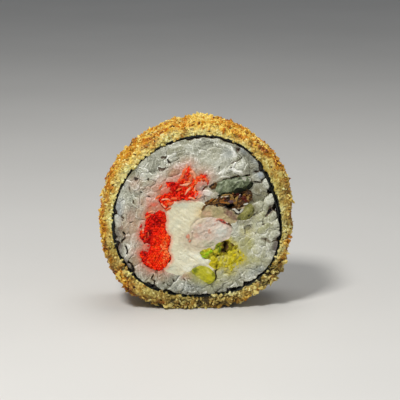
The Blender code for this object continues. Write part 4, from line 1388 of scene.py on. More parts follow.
BITS_OF_SHRIMP = (
    (7.6, -1.3, -28, 1.9, 0.9, 0.05, "red"), (6.5, -0.9, 12, 1.5, 0.6, 0.05, "rosy"),
    (8.5, -2, -40, 1.5, 0.6, 0.05, "red"), (8, -1.6, -35, 1.2, 0.5, 0.15, "dark"),
    (9.2, -2.4, -20, 1.3, 0.5, 0.1, "dark"), (-2.7, -6.4, 80, 2.2, 1.2, -0.1, "rosy"),
    (-2.2, -7.6, 60, 1.6, 0.8, -0.1, "rosy"), (-1.4, -4.6, 50, 1.6, 0.6, -0.1, "plain"),
    (5.6, -2.2, 70, 1.4, 0.5, 0, "rosy"), (3.6, -4.8, 66, 2.2, 0.5, 0.05, "rosy"),
    (0.6, -2.4, 36, 1.8, 0.6, -0.1, "plain"),
)
# Dark strips along the eel skin's lower edge, a painted shadow
SHADOW_UNDER_EEL = (
    (7.2, 6.8, 14, 3.8, 0.9, -0.15, "dark"), (9.8, 7.1, 8, 5, 1, -0.1, "dark"),
    (13.4, 8.2, 12, 5.4, 1.6, -0.1, "dark"), (16.2, 9.4, 36, 3.4, 1.5, -0.15, "dark"),
    (11.4, 7.9, 14, 3, 0.6, 0.05, "plain"), (14.4, 8.9, 20, 2.4, 0.7, 0.05, "plain"),
)
CRUMBS_OF_AVOCADO = (
    (13.4, -13.6, 20, 1.6, 1, -0.1, "acid"), (12.4, -15.4, 60, 1.5, 0.9, -0.1, "plain"),
    (10.8, -16.8, 80, 1.4, 1, -0.15, "plain"), (13, -11.4, 40, 1.5, 0.9, -0.2, "olive"),
    (9.2, -16, 30, 1.4, 0.9, -0.15, "acid"), (10.4, -11.9, 50, 1.6, 0.9, 0.1, "plain"),
    (10.2, -10.2, 100, 2.6, 0.9, -0.25, "olive"), (8.2, -12.3, 30, 1.8, 0.8, -0.2, "olive"),
    (7, -10.8, 80, 2, 0.7, -0.2, "forest"), (11.6, -12.6, 20, 1.7, 1, 0.1, "acid"),
    (8.9, -13.9, 50, 1.7, 1.1, 0.05, "plain"), (4.9, -14.9, 20, 1.8, 0.9, 0, "acid"),
    (10.3, -14.9, 70, 1.5, 1, 0.1, "acid"), (4, -11.2, 20, 1.8, 0.9, 0.1, "green"),
    (5.9, -12.2, 60, 1.6, 0.9, 0.05, "olive"), (7.4, -14.4, 80, 1.6, 0.8, -0.05, "plain"),
    (2, -12.8, -20, 1.7, 0.8, 0.1, "green"), (6.7, -9, 30, 1.8, 0.8, -0.1, "forest"),
    (12.2, -9.9, 50, 1.8, 1, -0.2, "olive"),
)


def filling_paint(name):
    """The material of one filling, from its ramp, its marks' colours and its gloss."""
    look = LOOKS[name]
    p = Paint(name + "_food", look.roughness, Specular_IOR_Level=look.specular,
              Coat_Weight=look.coat, Coat_Roughness=COAT_ROUGHNESS, **soft(*look.depth))
    size, along, bearing = look.grain
    cloud = p.noise(size, 4.0, 0.65, (along, bearing))
    fine = p.noise(0.6, 4.0, 0.7)
    colour = p.ramp(p.math("ADD", cloud, p.swing(fine, 0.6)), look.ramp)
    for key, tint in look.tints.items():
        share = p.math("MULTIPLY", p.attribute(key),
                       p.spread(p.noise(0.9, 4.0), 0.25, 0.6, (0.4, 1.1)), True)
        colour = p.mix(share, colour, tint)
    # Painted shade in low places and on the sides
    colour = p.mix(p.attribute("deep"), colour, look.shade)
    low, high = look.roughness + GLOSS_RANGE[0], look.roughness + GLOSS_RANGE[1]
    height = p.math("ADD", fine, p.math("MULTIPLY", cloud, 1.5))
    return p.finish(colour, p.bump(height, 0.28, 0.9), p.spread(cloud, 0.3, 0.7, (low, high)))


def crease(flat, half_width, points):
    """1 along a line of points, fading to 0 at this distance from it."""
    reach = np.full(len(flat), 9.0)
    for a, b in zip(np.array(points)[:-1], np.array(points)[1:]):
        share = np.clip((flat - a) @ (b - a) / ((b - a) @ (b - a)), 0, 1)
        reach = np.minimum(reach, np.linalg.norm(flat - a - share[:, None] * (b - a), axis=1))
    return smoothstep(1 - reach / half_width)


def unsteady(flat, side):
    return shaken(flat, 33.0 * side, 0.5, 1.0, 75)


def broken(flat, side):
    """How strongly a groove shows here and there along its way."""
    return 0.35 + 0.65 * smoothstep(0.5 + 1.4 * noise(lifted(flat, 40.0 * side), 0.9, 74))


def border_height(flat, side):
    """How far the face stands over the cut plane where two foods meet."""
    return (0.12 * noise(lifted(flat, 27.0 * side), 1.8, 73) - 0.06
            + 0.22 * blob(flat, 1.5, -6.5, 9.0, 6.0, 20))


def face_height(flat, gap, food, side):
    """How far a filling's face stands over the cut plane."""
    height = waves(lifted(flat, 40.0 * side), [(amount, size, 70) for size, amount in food.waves],
                   float(food.proud))
    bearing, length, width, amount = food.fibres
    height += amount * noise(stretched(flat, length, width, bearing, 9.0 * side), 1.0, 71)
    bent, shown = unsteady(flat, side), broken(flat, side)
    for *ellipse, amount in food.lumps:
        height += amount * blob(bent, *ellipse)
    for amount, half_width, points, _ in food.lines:
        height -= amount * crease(bent, half_width, points) * shown
    border = border_height(flat, side)
    return border + (height - border) * smoothstep(0.15 + gap / food.edge)


def filling_mark(key, name, flat, layout):
    """How strongly one of a filling's colours shows at each place."""
    food, bent = FOODS[name], unsteady(flat, -1)
    if key == "blush":
        roe_edge = np.concatenate((layout.loops["roe_slab"], layout.loops["roe_cluster"]))
        return 0.8 * smoothstep(1 - nearest(flat, roe_edge) / BLUSH_REACH)
    if key == "melt":
        other = layout.loops["shrimp" if name == "cream_cheese" else "cream_cheese"]
        low = smoothstep(-(flat[:, 1] + 4.5) / 2)
        reach = 1.6 + 1.6 * low + 1.2 * noise(lifted(flat, -40.0), 1.6, 72)
        return smoothstep(1.1 - nearest(flat, other) / reach) * (flat[:, 0] < MELT_RIGHT)
    share = blobs(bent, food.marks.get(key, ()))
    for _, half_width, points, mark in food.lines:
        if mark == key:
            share = np.maximum(share, crease(bent, half_width, points) * broken(flat, -1))
    return share


def add_filling(name, layout):
    food = FOODS[name]
    flat, tris, edge = region(layout, FILLINGS.index(name))
    gap = nearest(flat, edge)
    heights = [face_height(flat, gap, food, side) for side in (-1, 1)]
    verts, faces, rim = slab(flat, tris, -HALF_DEPTH - heights[0], HALF_DEPTH + heights[1])
    attributes = {}
    for key in LOOKS[name].tints:
        share = filling_mark(key, name, flat, layout)
        attributes[key] = over_slab(share, rim, share)
    # Low places and the sides are painted darker as shade
    deep = [np.clip(-(h + 0.35) / 0.8, 0, 1) for h in heights]
    attributes["deep"] = np.concatenate((deep[0], np.full(len(rim), 0.35), deep[1]))
    piece = make_piece(name + "_piece", verts, faces, filling_paint(name), attributes,
                       sharp=RIM_SHARP)
    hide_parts(name)


def strewn(draw, u, v, half_width, half_height, turn, count, size, marks):
    """Rows of torn bits strewn over an ellipse of the face."""
    rows = []
    for _ in range(count):
        away, around = math.sqrt(draw.random()), draw.uniform(0, 2 * math.pi)
        x, z = away * half_width * math.cos(around), away * half_height * math.sin(around)
        c, s = math.cos(math.radians(turn)), math.sin(math.radians(turn))
        length = size * draw.uniform(0.6, 1.5)
        rows.append((u + x * c - z * s, v + x * s + z * c, draw.uniform(0, 180), length,
                     length * draw.uniform(0.35, 0.6),
                     draw.uniform(-0.4, -0.05), marks[draw.integers(len(marks))]))
    return tuple(rows)


def torn_bits(name, food, slot, table, *more):
    """Torn flakes, strands and crumbs of one filling, as one mesh."""
    draw = np.random.default_rng(61)
    for patch in more:
        table = table + strewn(draw, *patch)
    unit, tris = ball(12, 9)
    keys = list(LOOKS[food].tints)
    heap = Heap()
    for u, v, bearing, length, width, rise, mark in table:
        body = unit * (length / 2, width / 2, width * 0.4)
        body = body + 0.22 * width * np.stack([noise(body + 9 * k + draw.uniform(0, 90), 0.7, 77)
                                               for k in range(3)], 1)
        body[:, 1] += draw.uniform(-0.15, 0.15) * (body[:, 0] ** 2 - 0.3)
        turn = math.radians(bearing)
        body = turned(body, (math.cos(turn), draw.normal(0, 0.08), math.sin(turn)),
                      draw.uniform(-0.4, 0.4) + math.pi / 2)
        tints = {key: float(key == mark) for key in keys}
        heap.add(body + (u, -HALF_DEPTH - rise, v), tris, deep=0.0, **tints)
    heap.piece(name, filling_paint(food))


# The roe

# An egg's radius, how far apart eggs are, and how deep their bed is
EGG = 0.36
EGG_SPACING = 0.66
ROE_DEPTH = 0.45
ROE_WAVES = ((0.30, 3, 80), (0.22, 1.5, 79))
# Layers of eggs: (rise, least distance from the edge, share kept)
EGG_LAYERS = ((-0.42, 0.10, 1), (-0.08, 0.25, 1), (0.30, 0.9, 0.16))
# Darker and lighter roe, partly painted shade and light and partly thicker and thinner roe: (u, v,
# half width, half height, bearing, change)
ROE_DARK = (
    (-12.9, -1.2, 3.8, 4.8, 0, 0.28), (-15.4, -7, 2.4, 8, -8, 0.45), (-7, 9, 4.5, 2.8, 20, 0.27),
    (-1.6, 7, 2, 2, 0, 0.2), (-4, 6.6, 4, 1.6, 0, 0.2), (-16.4, -11.5, 1.6, 3.4, 0, 0.50),
)
ROE_LIGHT = (
    (-10.3, -10.5, 3.6, 8, 0, 0.36), (-12.4, -13, 3.2, 3.4, 0, 0.22), (-1, 10, 5, 6, 30, 0.30),
    (-16, -13, 2.5, 2.5, 0, 0.2), (-9.4, 3.6, 2, 2.2, 0, 0.15),
)


def roe(layout):
    """Both heaps of roe: a core each, painted dark as shade between the eggs, and the eggs of all
    as one mesh.
    """
    paint = roe_paint()
    draw = np.random.default_rng(29)
    verts, tris = ball(5, 8)
    heap = Heap()
    for number, name in enumerate(FILLINGS[:2]):
        flat, flat_tris, edge = region(layout, number)
        slope = 0.3 * smoothstep(1 - nearest(flat, edge) / 0.8)
        swells = []
        for side in (-1, 1):
            near = cells(lifted(flat, 30.5 * side) / 0.8, 81)[0]
            swells.append(waves(lifted(flat, 21.0 * side), ROE_WAVES) - ROE_DEPTH
                          + 0.25 * (0.6 - near) - slope)
        core_verts, faces, rim = slab(flat, flat_tris, -HALF_DEPTH - swells[0],
                                      HALF_DEPTH + swells[1])
        tone = 0.16 - blobs(flat, ROE_DARK) * 0.5 + blobs(flat, ROE_LIGHT)
        core = make_piece(name + "_core", core_verts, faces, paint,
                          {"tone": over_slab(tone, rim, tone)})
        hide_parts(name)
        for side in (-1, 1):
            for layer, (rise, least, share) in enumerate(EGG_LAYERS):
                spots = hex_points(flat.min(0) - 0.3, flat.max(0) + 0.3, EGG_SPACING, draw, 0.2)
                keep = inside(layout.loops[name], spots) & (nearest(spots, edge) > least)
                if share < 1:
                    keep &= draw.random(len(spots)) < share
                spots = spots[keep]
                swell = waves(lifted(spots, 21.0 * side), ROE_WAVES)
                shade = blobs(spots, ROE_LIGHT) - blobs(spots, ROE_DARK)
                for spot, lift, light in zip(spots, swell, shade):
                    size = EGG * draw.uniform(0.88, 1.12)
                    up = rise + lift + draw.normal(0, 0.07)
                    centre = (spot[0], side * (HALF_DEPTH + up), spot[1])
                    body = turned(verts * size * (1.0, 1.0, 0.92), draw.normal(size=3)) + centre
                    # Eggs of deeper layers are painted a little darker as shade
                    heap.add(body, tris,
                             tone=0.60 + light + draw.normal(0, 0.11) + 0.05 * (layer - 1))
    eggs = heap.piece("roe_eggs", paint)


# The rice

# The rice's stains and their colours, from the first layer to the last; the bluish-grey and
# purple-grey ones are painted shade
RICE_STAINS = (
    ("pink", (206, 134, 106)), ("coral", (214, 96, 66)), ("green", (170, 167, 84)),
    ("lemon", (206, 190, 64)), ("brown", (112, 104, 66)), ("blue_shade", (150, 160, 168)),
    ("violet_shade", (104, 92, 90)),
)
GRAIN_LENGTH = 5.0
GRAIN_WIDTH = 2.6
# How near grains may come, as a share of their width; how much of the face they cover in all; how
# many rounds they settle; how far from an edge they start; and how many stand out of the back
GRAIN_TIGHT = 0.9
GRAIN_COVER = 1.12
GRAIN_ROUNDS = 70
GRAIN_ROOM = 0.7
LOOSE_GRAINS = 24
# The share of grains that lie nearly flat, and the height below which grains are smaller
LOW_SHARE = 0.65
SMALL_BELOW = -17.0
RICE_WAVES = ((0.12, 2.4, 97), (0.12, 0.9, 98))
# Where grains lie the same way: (u, v, half width, half height, bearing of it, way, share, length)
FLOWS = (
    (-12, 14, 12, 7, 35, 35, 0.9, 1.25), (-21, 3, 5, 12, 0, 85, 0.8, 1.1),
    (3, 16, 12, 6, 20, 30, 0.6, 1.3), (-18, -12, 6, 9, 20, 120, 0.6, 1.1),
    (21, 0, 6, 14, 0, 30, 0.5, 1.05),
)
GRID_STEP = 0.25
GRID_REACH = 27.0
# How round a pressed grain's border is
CUT_SOFT = 0.10

# Pits between grains on the cut face, sunk and painted dark as shade: (u, v, half width, half
# height, bearing, depth)
PITS = (
    (-14.8, 6.3, 0.45, 0.55, 0, 0.6), (-6.7, 14.2, 0.6, 0.4, -20, 0.6),
    (-17, 4.2, 0.6, 0.4, 0, 0.6), (-23.2, 0.1, 0.6, 0.9, 20, 0.9), (-23.5, -0.9, 0.5, 0.5, 0, 0.9),
    (-20.6, -1.4, 0.6, 0.5, 0, 0.9), (-18.2, -5.2, 0.5, 0.4, 0, 0.6),
    (-10.5, -21.2, 0.7, 0.5, 0, 1), (-11.5, -19.2, 0.9, 0.5, 20, 0.5),
    (10.4, 15, 0.8, 0.5, 25, 1.1), (13.6, 18.2, 0.8, 0.45, 10, 1), (6.7, 13.6, 0.5, 0.5, 0, 0.8),
    (2.9, 23.2, 0.5, 0.8, 0, 0.5), (-2.6, 21.3, 1.1, 0.6, 5, 0.4), (12.5, 20.6, 0.9, 1.1, -30, 0.8),
    (18.4, 14, 1.3, 0.7, -15, 1), (16.3, 15.6, 0.9, 1.1, 0, 0.7), (21, -2.6, 1.1, 0.5, 20, 0.9),
    (22.9, -5.1, 0.7, 0.35, -45, 0.8), (18.4, -5.6, 0.5, 0.6, 0, 0.5),
    (18.4, -16.5, 0.5, 0.5, 0, 0.6), (15.2, -19.2, 0.7, 0.5, 20, 0.4),
    (21.4, -13.4, 0.5, 0.6, 0, 0.7), (5.2, 9.9, 1.3, 1.1, 25, 1.2), (11.8, -24.2, 1, 0.7, 0, 1),
    (-5, -23.3, 0.5, 0.6, 0, 0.9), (-8.6, -22, 0.8, 0.5, 20, 0.7),
    (-1.6, -22.6, 0.7, 0.4, -10, 0.7), (2.6, -21.6, 0.8, 0.4, 20, 0.6),
    (6.6, -23.8, 0.7, 0.5, 0, 0.7), (-3.2, -24.6, 0.6, 0.4, 0, 0.7), (-13, -17.6, 0.6, 0.4, 0, 0.6),
    (-16.2, -14, 0.5, 0.5, 0, 0.5), (20.2, -15.2, 0.5, 0.5, 0, 0.6), (17, -18.2, 0.5, 0.4, 0, 0.5),
)
# Sharp-cornered pits, sunk and painted dark as shade: (depth, corners)
POCKETS = (
    (0.5, ((-12.2, 15.6), (-8.9, 15.5), (-10.3, 14.6), (-11.7, 14.1))),
    (0.5, ((-11.3, 18.9), (-9.4, 19.1), (-9.5, 18.3), (-11.1, 18.2))),
    (0.8, ((-9.3, 18.2), (-8.8, 18.2), (-8.1, 16.8), (-8.8, 16.8))),
    (0.65, ((-19.5, 12.7), (-18.2, 12.5), (-18.6, 11.5), (-19.1, 11.6))),
    (0.6, ((-15.4, 12.5), (-15, 12.4), (-14.9, 11.5), (-15.3, 11.5))),
    (0.55, ((-17.6, 8.3), (-16.9, 8.2), (-17, 7.8), (-17.5, 7.8))),
    (0.95, ((21.5, 7.6), (22.4, 8.4), (23.8, 8.2), (23.5, 6.9), (22.3, 6.8))),
    (
        0.36,
        (
            (19.8, -7.2), (21.4, -7.1), (22.5, -7.9), (23.3, -8.6), (22.6, -8.9), (21.2, -8.2),
            (20.1, -7.9),
        ),
    ),
    (0.24, ((14.4, -4), (15.2, -2.9), (17.2, -2.7), (16.8, -4.3), (15.3, -5.1))),
    (0.6, ((13.8, 3), (14.6, 3), (14.3, 2.4))),
    (0.5, ((12.6, 21.6), (13.6, 20.9), (13, 20.2), (12.3, 20.8))),
    (0.95, ((15.3, -0.6), (16.7, 0.8), (17.4, 0.6), (16.2, -1.1))),
    (0.5, ((17.6, 14.2), (19.2, 13.9), (18.8, 13.3), (17.9, 13.4))),
)
# Lines between grains, sunk and painted dark as shade: (depth, half width, points)
CREASES = (
    (0.5, 0.28, ((-8.6, 17), (-5.2, 18.4))), (0.4, 0.26, ((-12, 14.6), (-12.1, 13))),
    (0.6, 0.35, ((-21, 9.4), (-20.2, 5.8), (-18.3, 3.3))), (0.4, 0.30, ((-17.4, 8), (-14.6, 10.2))),
    (0.7, 0.45, ((9.3, 15.2), (11.2, 16.9), (13.8, 18.4))),
    (1.1, 0.45, ((8.2, 11.5), (12.5, 12.2), (15.9, 12.8))),
    (1.3, 0.60, ((-22.3, -9.4), (-21.7, -10.7), (-22, -11.8))),
    (1.1, 0.60, ((-22.8, -5), (-22.6, -6.6), (-23.6, -7.7))),
    (1.4, 0.85, ((-21.3, -14.3), (-20.3, -15.5), (-19.8, -17.2))),
    (1.1, 0.45, ((-14, -18.4), (-14.4, -19.7), (-13.3, -20.9), (-13.6, -22.4))),
    (0.9, 0.45, ((-7.6, -19.8), (-7.1, -21.3))), (0.7, 0.35, ((-4.5, -20.2), (-2.1, -21.8))),
    (1.4, 0.85, ((21.8, -0.2), (22.9, 1.2), (24.3, 2.2))),
    (0.7, 0.45, ((23.1, -8.7), (25.6, -7.6))), (0.4, 0.30, ((16.3, -11.2), (16, -9.2))),
    (0.6, 0.35, ((6.8, 15.3), (6.7, 13.4))), (0.9, 0.45, ((16.4, 9.4), (17.4, 11), (20.2, 10.8))),
    (0.7, 0.35, ((20.6, 4.6), (21.7, 6.3))), (0.8, 0.40, ((16.4, 6.6), (17.6, 4.4))),
    (1, 0.50, ((24.3, -4.6), (25.8, -4.6))),
    (0.9, 0.40, ((7.2, -15.6), (6, -17.5), (5.9, -20.4), (4.8, -21.3))),
    (0.5, 0.3, ((19.2, 2.2), (17.4, 0.2), (20.6, -2.2))),
)
RIDGE_HALF = 0.25
# Edges of cut grains, raised and painted bright as highlights, as lines of points
RIDGES = (
    ((-13, 15.6), (-12.6, 18.2), (-8.8, 17.4), (-9, 15.6)),
    ((-12, 12.6), (-11.9, 13.9), (-6.2, 16.2), (-5.6, 14.8), (-9.5, 12.6)),
    ((-16.6, 11.6), (-14.4, 9.8), (-16, 7.4), (-18.8, 9.4), (-16.6, 11.6)),
    ((-21.6, 5), (-20.2, 7.4), (-18.4, 5.6), (-18.6, 3)),
    ((-13.8, 7.6), (-11.4, 7), (-11.4, 5.2), (-13.6, 5), (-13.8, 7.6)),
    ((11, 15.8), (12, 17.3), (14.4, 17), (15.2, 15.9)),
    ((21, 5.2), (22.6, 7), (24.4, 5.2), (22.6, 3.2), (21, 5.2)),
    ((-24.6, 2.6), (-23.2, 3.4), (-22.6, 0.8), (-23.4, -3.2)),
    ((-19, -6.6), (-17.4, -4.4), (-16.8, -8.6)),
    ((16.8, -9.8), (18.6, -9.2), (20.2, -10.8), (19.2, -12.8), (17.2, -12.4), (16.8, -9.8)),
    ((-20, -11.4), (-17.6, -10), (-17.2, -13.8)), ((19.6, -1.6), (22, -0.6), (23.8, -2)),
    ((20.4, -5.2), (23.2, -3.6), (25, -4.4)), ((-3, 21.6), (0.2, 22.2), (3, 21.2)),
    ((-8, 21.2), (-4.6, 22.6)), ((13.6, -2), (15.6, -1.2), (17.2, -2.6)),
    ((12.6, -4.8), (14.4, -3.6), (15, -6.2)), ((-16.4, -16.4), (-13.2, -17.4), (-12.8, -20)),
    ((9.8, -17.6), (12.2, -16.4), (13.6, -18.4)), ((3.8, -22.6), (7, -22), (9.4, -22.8)),
)
# How flat the knife left the grains: (u, v, half width, half height, bearing, share)
FLAT_CUT = (
    (-2, 20, 34, 22, 0, 1), (-22, 2, 16, 28, 0, 1), (5, 18.5, 14, 9, 20, 1),
    (15, -13, 12, 10, 20, 0.75),
)
# Where the knife smeared grains together: (u, v, half width, half height, bearing, share)
SMEARED = (
    (6, 17.6, 8, 6.4, 25, 1), (-4, 22.5, 12, 3.4, 5, 0.6), (-9, 14, 6, 2.6, 30, 0.5),
    (-18, -6, 6, 14, 10, 0.3), (15, -14, 12, 9, 20, 0.7), (20, -1, 7, 9, 0, 0.25),
    (8, -21, 8, 4, 0, 0.4),
)
# Grains that the knife smeared into discs, with a rim painted as a highlight that is brightest on
# one side:
# (u, v, half width, half height, bearing, how bright, bearing of its brightest side)
DISCS = (
    (5.9, 18, 6.1, 4.4, 6, 1, 12), (4.4, 23.1, 1.7, 0.9, 0, 0.45, 90),
    (13, 15.7, 2.2, 1.5, 25, 0.6, 150),
)
DISC_RIM = 0.5
OFF_DISCS = ("blue_shade", "violet_shade", "brown")
# Lighter rice, partly the grains' own tone and partly painted highlight, and darker rice, painted
# shade near the seaweed, along the bottom and at the upper right: (u, v, half width, half height,
# bearing, change)
RICE_LIGHT = (
    (6, 18, 8.5, 6.5, 25, 0.05), (11.2, 19.4, 1.4, 3.4, 8, 0.12), (13.1, 15.9, 3.4, 2.4, 30, 0.1),
    (19.6, -5, 4.6, 5.4, 0, 0.26), (-20, -2, 3.4, 4.5, 0, 0.10), (20, -4, 3, 3, 0, 0.10),
    (0, 22, 5, 2.6, 0, 0.09), (3, 7, 5, 3, 0, 0.2),
)
RICE_SHADE = (
    (17.5, 15, 6.5, 6, 50, 0.34), (19, 8, 4, 5, 0, 0.34), (-24.3, -9, 2.4, 8, 12, 0.45),
    (18.6, -17.2, 3.6, 2.4, 45, 0.30), (0, -24, 17, 5, 0, 0.30), (-1.5, -25.4, 12, 2, 0, 0.4),
    (24.6, -9.4, 2.6, 6, -14, 0.62), (22, 3, 4, 3, 0, 0.26), (-24.4, -4, 2.8, 6, 0, 0.60),
    (-20.4, 5.6, 3, 3, 0, 0.18), (-19.6, 14.6, 4, 3.6, 40, 0.42), (-14, -20, 9, 5, -30, 0.26),
    (21.5, -14.5, 4, 6, -20, 0.2), (-22, 8, 7, 8, 0, 0.08), (17, -12, 5, 5, 0, 0.06),
    (-15.2, 12.9, 4.4, 2.4, 10, 0.30), (-21, 10, 4, 4, 0, 0.10), (16, 16, 3, 3, 0, 0.24),
    (-20, 11.4, 4.5, 4, 30, 0.22), (-24.4, 1.5, 2.2, 6, 0, 0.26), (-17, -17, 3, 3, 0, 0.2),
    (15.5, 18.5, 6.5, 3.8, -45, 0.46), (22.4, 7, 4.2, 5, 0, 0.60), (22.5, -0.6, 3.4, 3.2, 0, 0.16),
    (-6, -24.4, 4, 1.6, 0, 0.45), (5.2, -24.4, 3, 1.6, 0, 0.45),
)
# Where each stain is, the painted shade among them too: (u, v, half width, half height, bearing,
# share)
STAIN_SPOTS = {
    "pink": (
        (-15.5, 4.5, 5, 4, 0, 0.8), (-19, 10.6, 4.5, 4, 0, 0.4), (-11.5, 8.5, 8, 6, 25, 0.9),
        (-20.5, -3, 6, 9, 0, 0.55), (-6, 14, 7, 4.5, 30, 0.9), (-3.4, -19.4, 3.2, 1.6, 0, 0.6),
    ),
    "green": (
        (15, -9.5, 6.5, 6.5, 0, 0.9), (14.5, -4.5, 4, 4, 0, 0.6), (9.5, -18.5, 6, 4, 0, 0.7),
        (19.5, -2, 8, 12, 0, 0.45), (16, -14, 9, 8, 30, 0.7),
    ),
    "lemon": (
        (15.6, -5.4, 3.6, 3.2, 0, 0.5), (13.8, -14, 3, 3.4, 0, 1), (10.5, -17.8, 3.4, 2, 0, 0.8),
    ),
    "brown": (
        (18.8, 8, 4, 4.6, 20, 0.95), (17, 14.5, 5, 4, 40, 0.35), (7, 10.5, 3.5, 2.5, 0, 0.5),
        (15.9, -3.9, 2, 1.8, 20, 1.3), (21.6, -7.8, 2.4, 1.2, -20, 1),
    ),
    "coral": (
        (-10.2, 8.4, 3.6, 2.6, 0, 0.5), (-3.6, 13.6, 4.4, 4.5, 0, 0.7),
        (-7.2, 12.8, 2.6, 2, 30, 0.6), (-15.6, -9.8, 2.4, 3.2, 0, 0.7),
        (-13, 2.6, 4.6, 3.4, 20, 2.2), (-14, 5.6, 3.4, 2.4, 0, 0.4),
    ),
    # Painted bluish-grey shade near the edges and at the upper right
    "blue_shade": (
        (19.4, 13.2, 3.2, 3, -30, 0.9), (14, 21, 3, 2, -35, 0.7), (9.6, 20.2, 3.6, 4, 0, 0.5),
        (17.5, -18, 4, 2.2, 45, 0.7), (18.2, 17.5, 3.4, 2, -45, 0.6),
        (-24.5, 2.5, 2.4, 6.5, 0, 0.6), (19.4, -17.6, 3.4, 2.4, 35, 0.7),
        (-22.5, 10.5, 2, 2, 0, 0.5), (0, -22.8, 13, 2.6, 0, 0.4),
    ),
    # Painted purple-grey shade by the seaweed and in recesses
    "violet_shade": (
        (-1.5, -25.6, 12, 1.8, 0, 0.7), (25, -9.4, 2.2, 5.6, -12, 1), (-24.4, -8.6, 2, 6.5, 8, 1),
        (-22.3, -14.5, 1.6, 4, 35, 0.9), (12.6, 21.2, 1.6, 1.8, -30, 0.6),
    ),
}
# Stains that some grains have all over the face, and how strongly
EVERYWHERE = {"brown": 0.22, "green": 0.10}
# Stains that spread from fillings: (the fillings, how far, how strongly)
STAIN_REACH = {
    "pink": (("roe_slab", "roe_cluster"), 5, 0.68),
    "green": (("avocado_upper", "avocado_lower"), 4, 0.8), "lemon": (("avocado_upper",), 1.8, 0.85),
    "brown": (("eel_slab", "eel_glazed", "eel_fold"), 2.4, 0.7),
    "coral": (("roe_slab", "roe_cluster"), 1.5, 0.75),
}
RIM_GAP_LEAST = 0.06
RIM_GAP_WAVES = ((1.2, 2.2, 88), (0.8, 0.9, 87))
# How wide the gap inside the seaweed is, sunk and painted dark as shade: (bearing, half width in
# degrees, millimetres)
RIM_GAPS = (
    (84, 30, 0.34), (19, 28, 0.95), (-5, 20, 0.35), (-15, 9, 0.8), (186, 16, 1.1), (-52, 6, 0.9),
    (-65, 5, 0.8), (214, 12, 0.4), (236, 8, 0.5), (249, 5, 0.4), (-84, 5, 0.35), (-61, 4, 0.4),
    (-44, 9, 0.3), (104, 8, 0.6),
)

# Grains that stand out of the face: (u, v, bearing, tilt, length, width, rise, tone, pink)
PLACED = (
    (13.1, 15.9, 30, 10, 3.9, 2.9, -0.95, 0.66, 0), (21.4, 9.9, 70, 15, 4.2, 2.9, -0.85, 0.60, 0),
    (22.6, 4.9, 45, 10, 4.3, 3.1, -0.80, 0.66, 0), (24.3, -2.9, 35, 20, 4.6, 2.8, -0.90, 0.48, 0),
    (23.9, -6.3, 30, 20, 4.6, 2.6, -0.95, 0.48, 0), (18.4, -11, 20, 70, 4.6, 3.4, -1.50, 0.70, 0),
    (1.6, -24, -12, 10, 3.8, 2, -0.80, 0.95, 0), (-24.4, -1.6, 100, 10, 5.6, 2.4, -0.85, 0.58, 0),
    (18.6, -1, 10, 30, 4.4, 2.8, -1.05, 0.50, 0), (23.4, -1, 60, 25, 4.4, 2.6, -1.00, 0.42, 0),
    (19.3, 2.6, 80, 25, 4.6, 2.7, -1.10, 0.48, 0), (19, 12.4, 15, 15, 4.6, 2.6, -0.95, 0.25, 0),
    (8.8, -20, 60, 30, 4, 2.8, -1.05, 0.55, 0), (-5.4, -22.6, 40, 20, 3.8, 2.4, -1.00, 0.55, 0),
)
# Grains that lie in and on the fillings, in the same order of values; the last four, small and
# bright on the eel, are painted glints
STUCK = (
    (0.8, 10, 60, 30, 3, 2.3, -0.15, 0.60, 0.10), (-10, 8.2, 35, 15, 4.2, 2.5, -0.50, 0.50, 0.95),
    (0.3, 6.9, 15, 10, 3.2, 2, -0.20, 0.98, 0.30), (3, 7.5, -20, 10, 3.6, 2.1, -0.25, 0.92, 0.2),
    (5.3, 6.6, 25, 15, 3, 1.9, -0.25, 0.66, 0.15),
    (-3.4, -18.9, 5, 20, 4.2, 2.4, -0.60, 0.35, 0.55),
    (-15.9, -9.8, 75, 20, 3.6, 2.3, -0.35, 0.50, 0.95),
    (15.6, 11.3, 20, 10, 2.2, 1.3, 0.15, 0.95, 0.10),
    (14.2, 11.9, 5, 10, 1.9, 0.9, 0.15, 0.90, 0.00),
    (12.2, 1.6, -40, 10, 2, 0.75, 0.20, 1.10, 0.00),
    (13.7, 1.7, 50, 10, 1.9, 0.7, 0.20, 1.15, 0.00), (11.3, 2.2, 10, 10, 1.3, 0.6, 0.15, 0.9, 0.20),
    (15.1, 3.8, 20, 10, 1.6, 0.6, 0.20, 1.00, 0.00),
)


class Room:
    """Distance inside the rice's part of the face, kept on a grid and read between its points."""

    def __init__(self, edge, loops):
        steps = int(2 * GRID_REACH / GRID_STEP) + 1
        u, v = np.meshgrid(*(np.linspace(-GRID_REACH, GRID_REACH, steps),) * 2, indexing="ij")
        places = np.stack((u.ravel(), v.ravel()), 1)
        distance = nearest(places, edge)
        outside = np.any([wrap_room(places) < 0, *(inside(loop, places) for loop in loops)], axis=0)
        self.grid = np.where(outside, -distance, distance).reshape(steps, steps)
        self.slope = np.gradient(self.grid, GRID_STEP)

    def read(self, grid, flat):
        q = np.clip((flat + GRID_REACH) / GRID_STEP, 0, grid.shape[0] - 1.001)
        i = q.astype(int)
        x, y = np.moveaxis(q - i, -1, 0)
        i, j = np.moveaxis(i, -1, 0)
        a, b = (grid[i, k] * (1 - x) + grid[i + 1, k] * x for k in (j, j + 1))
        return a * (1 - y) + b * y

    def depth(self, flat):
        return self.read(self.grid, flat)

    def inward(self, flat):
        way = np.stack([self.read(s, flat) for s in self.slope], -1)
        return way / np.maximum(np.linalg.norm(way, axis=-1, keepdims=True), 1e-6)


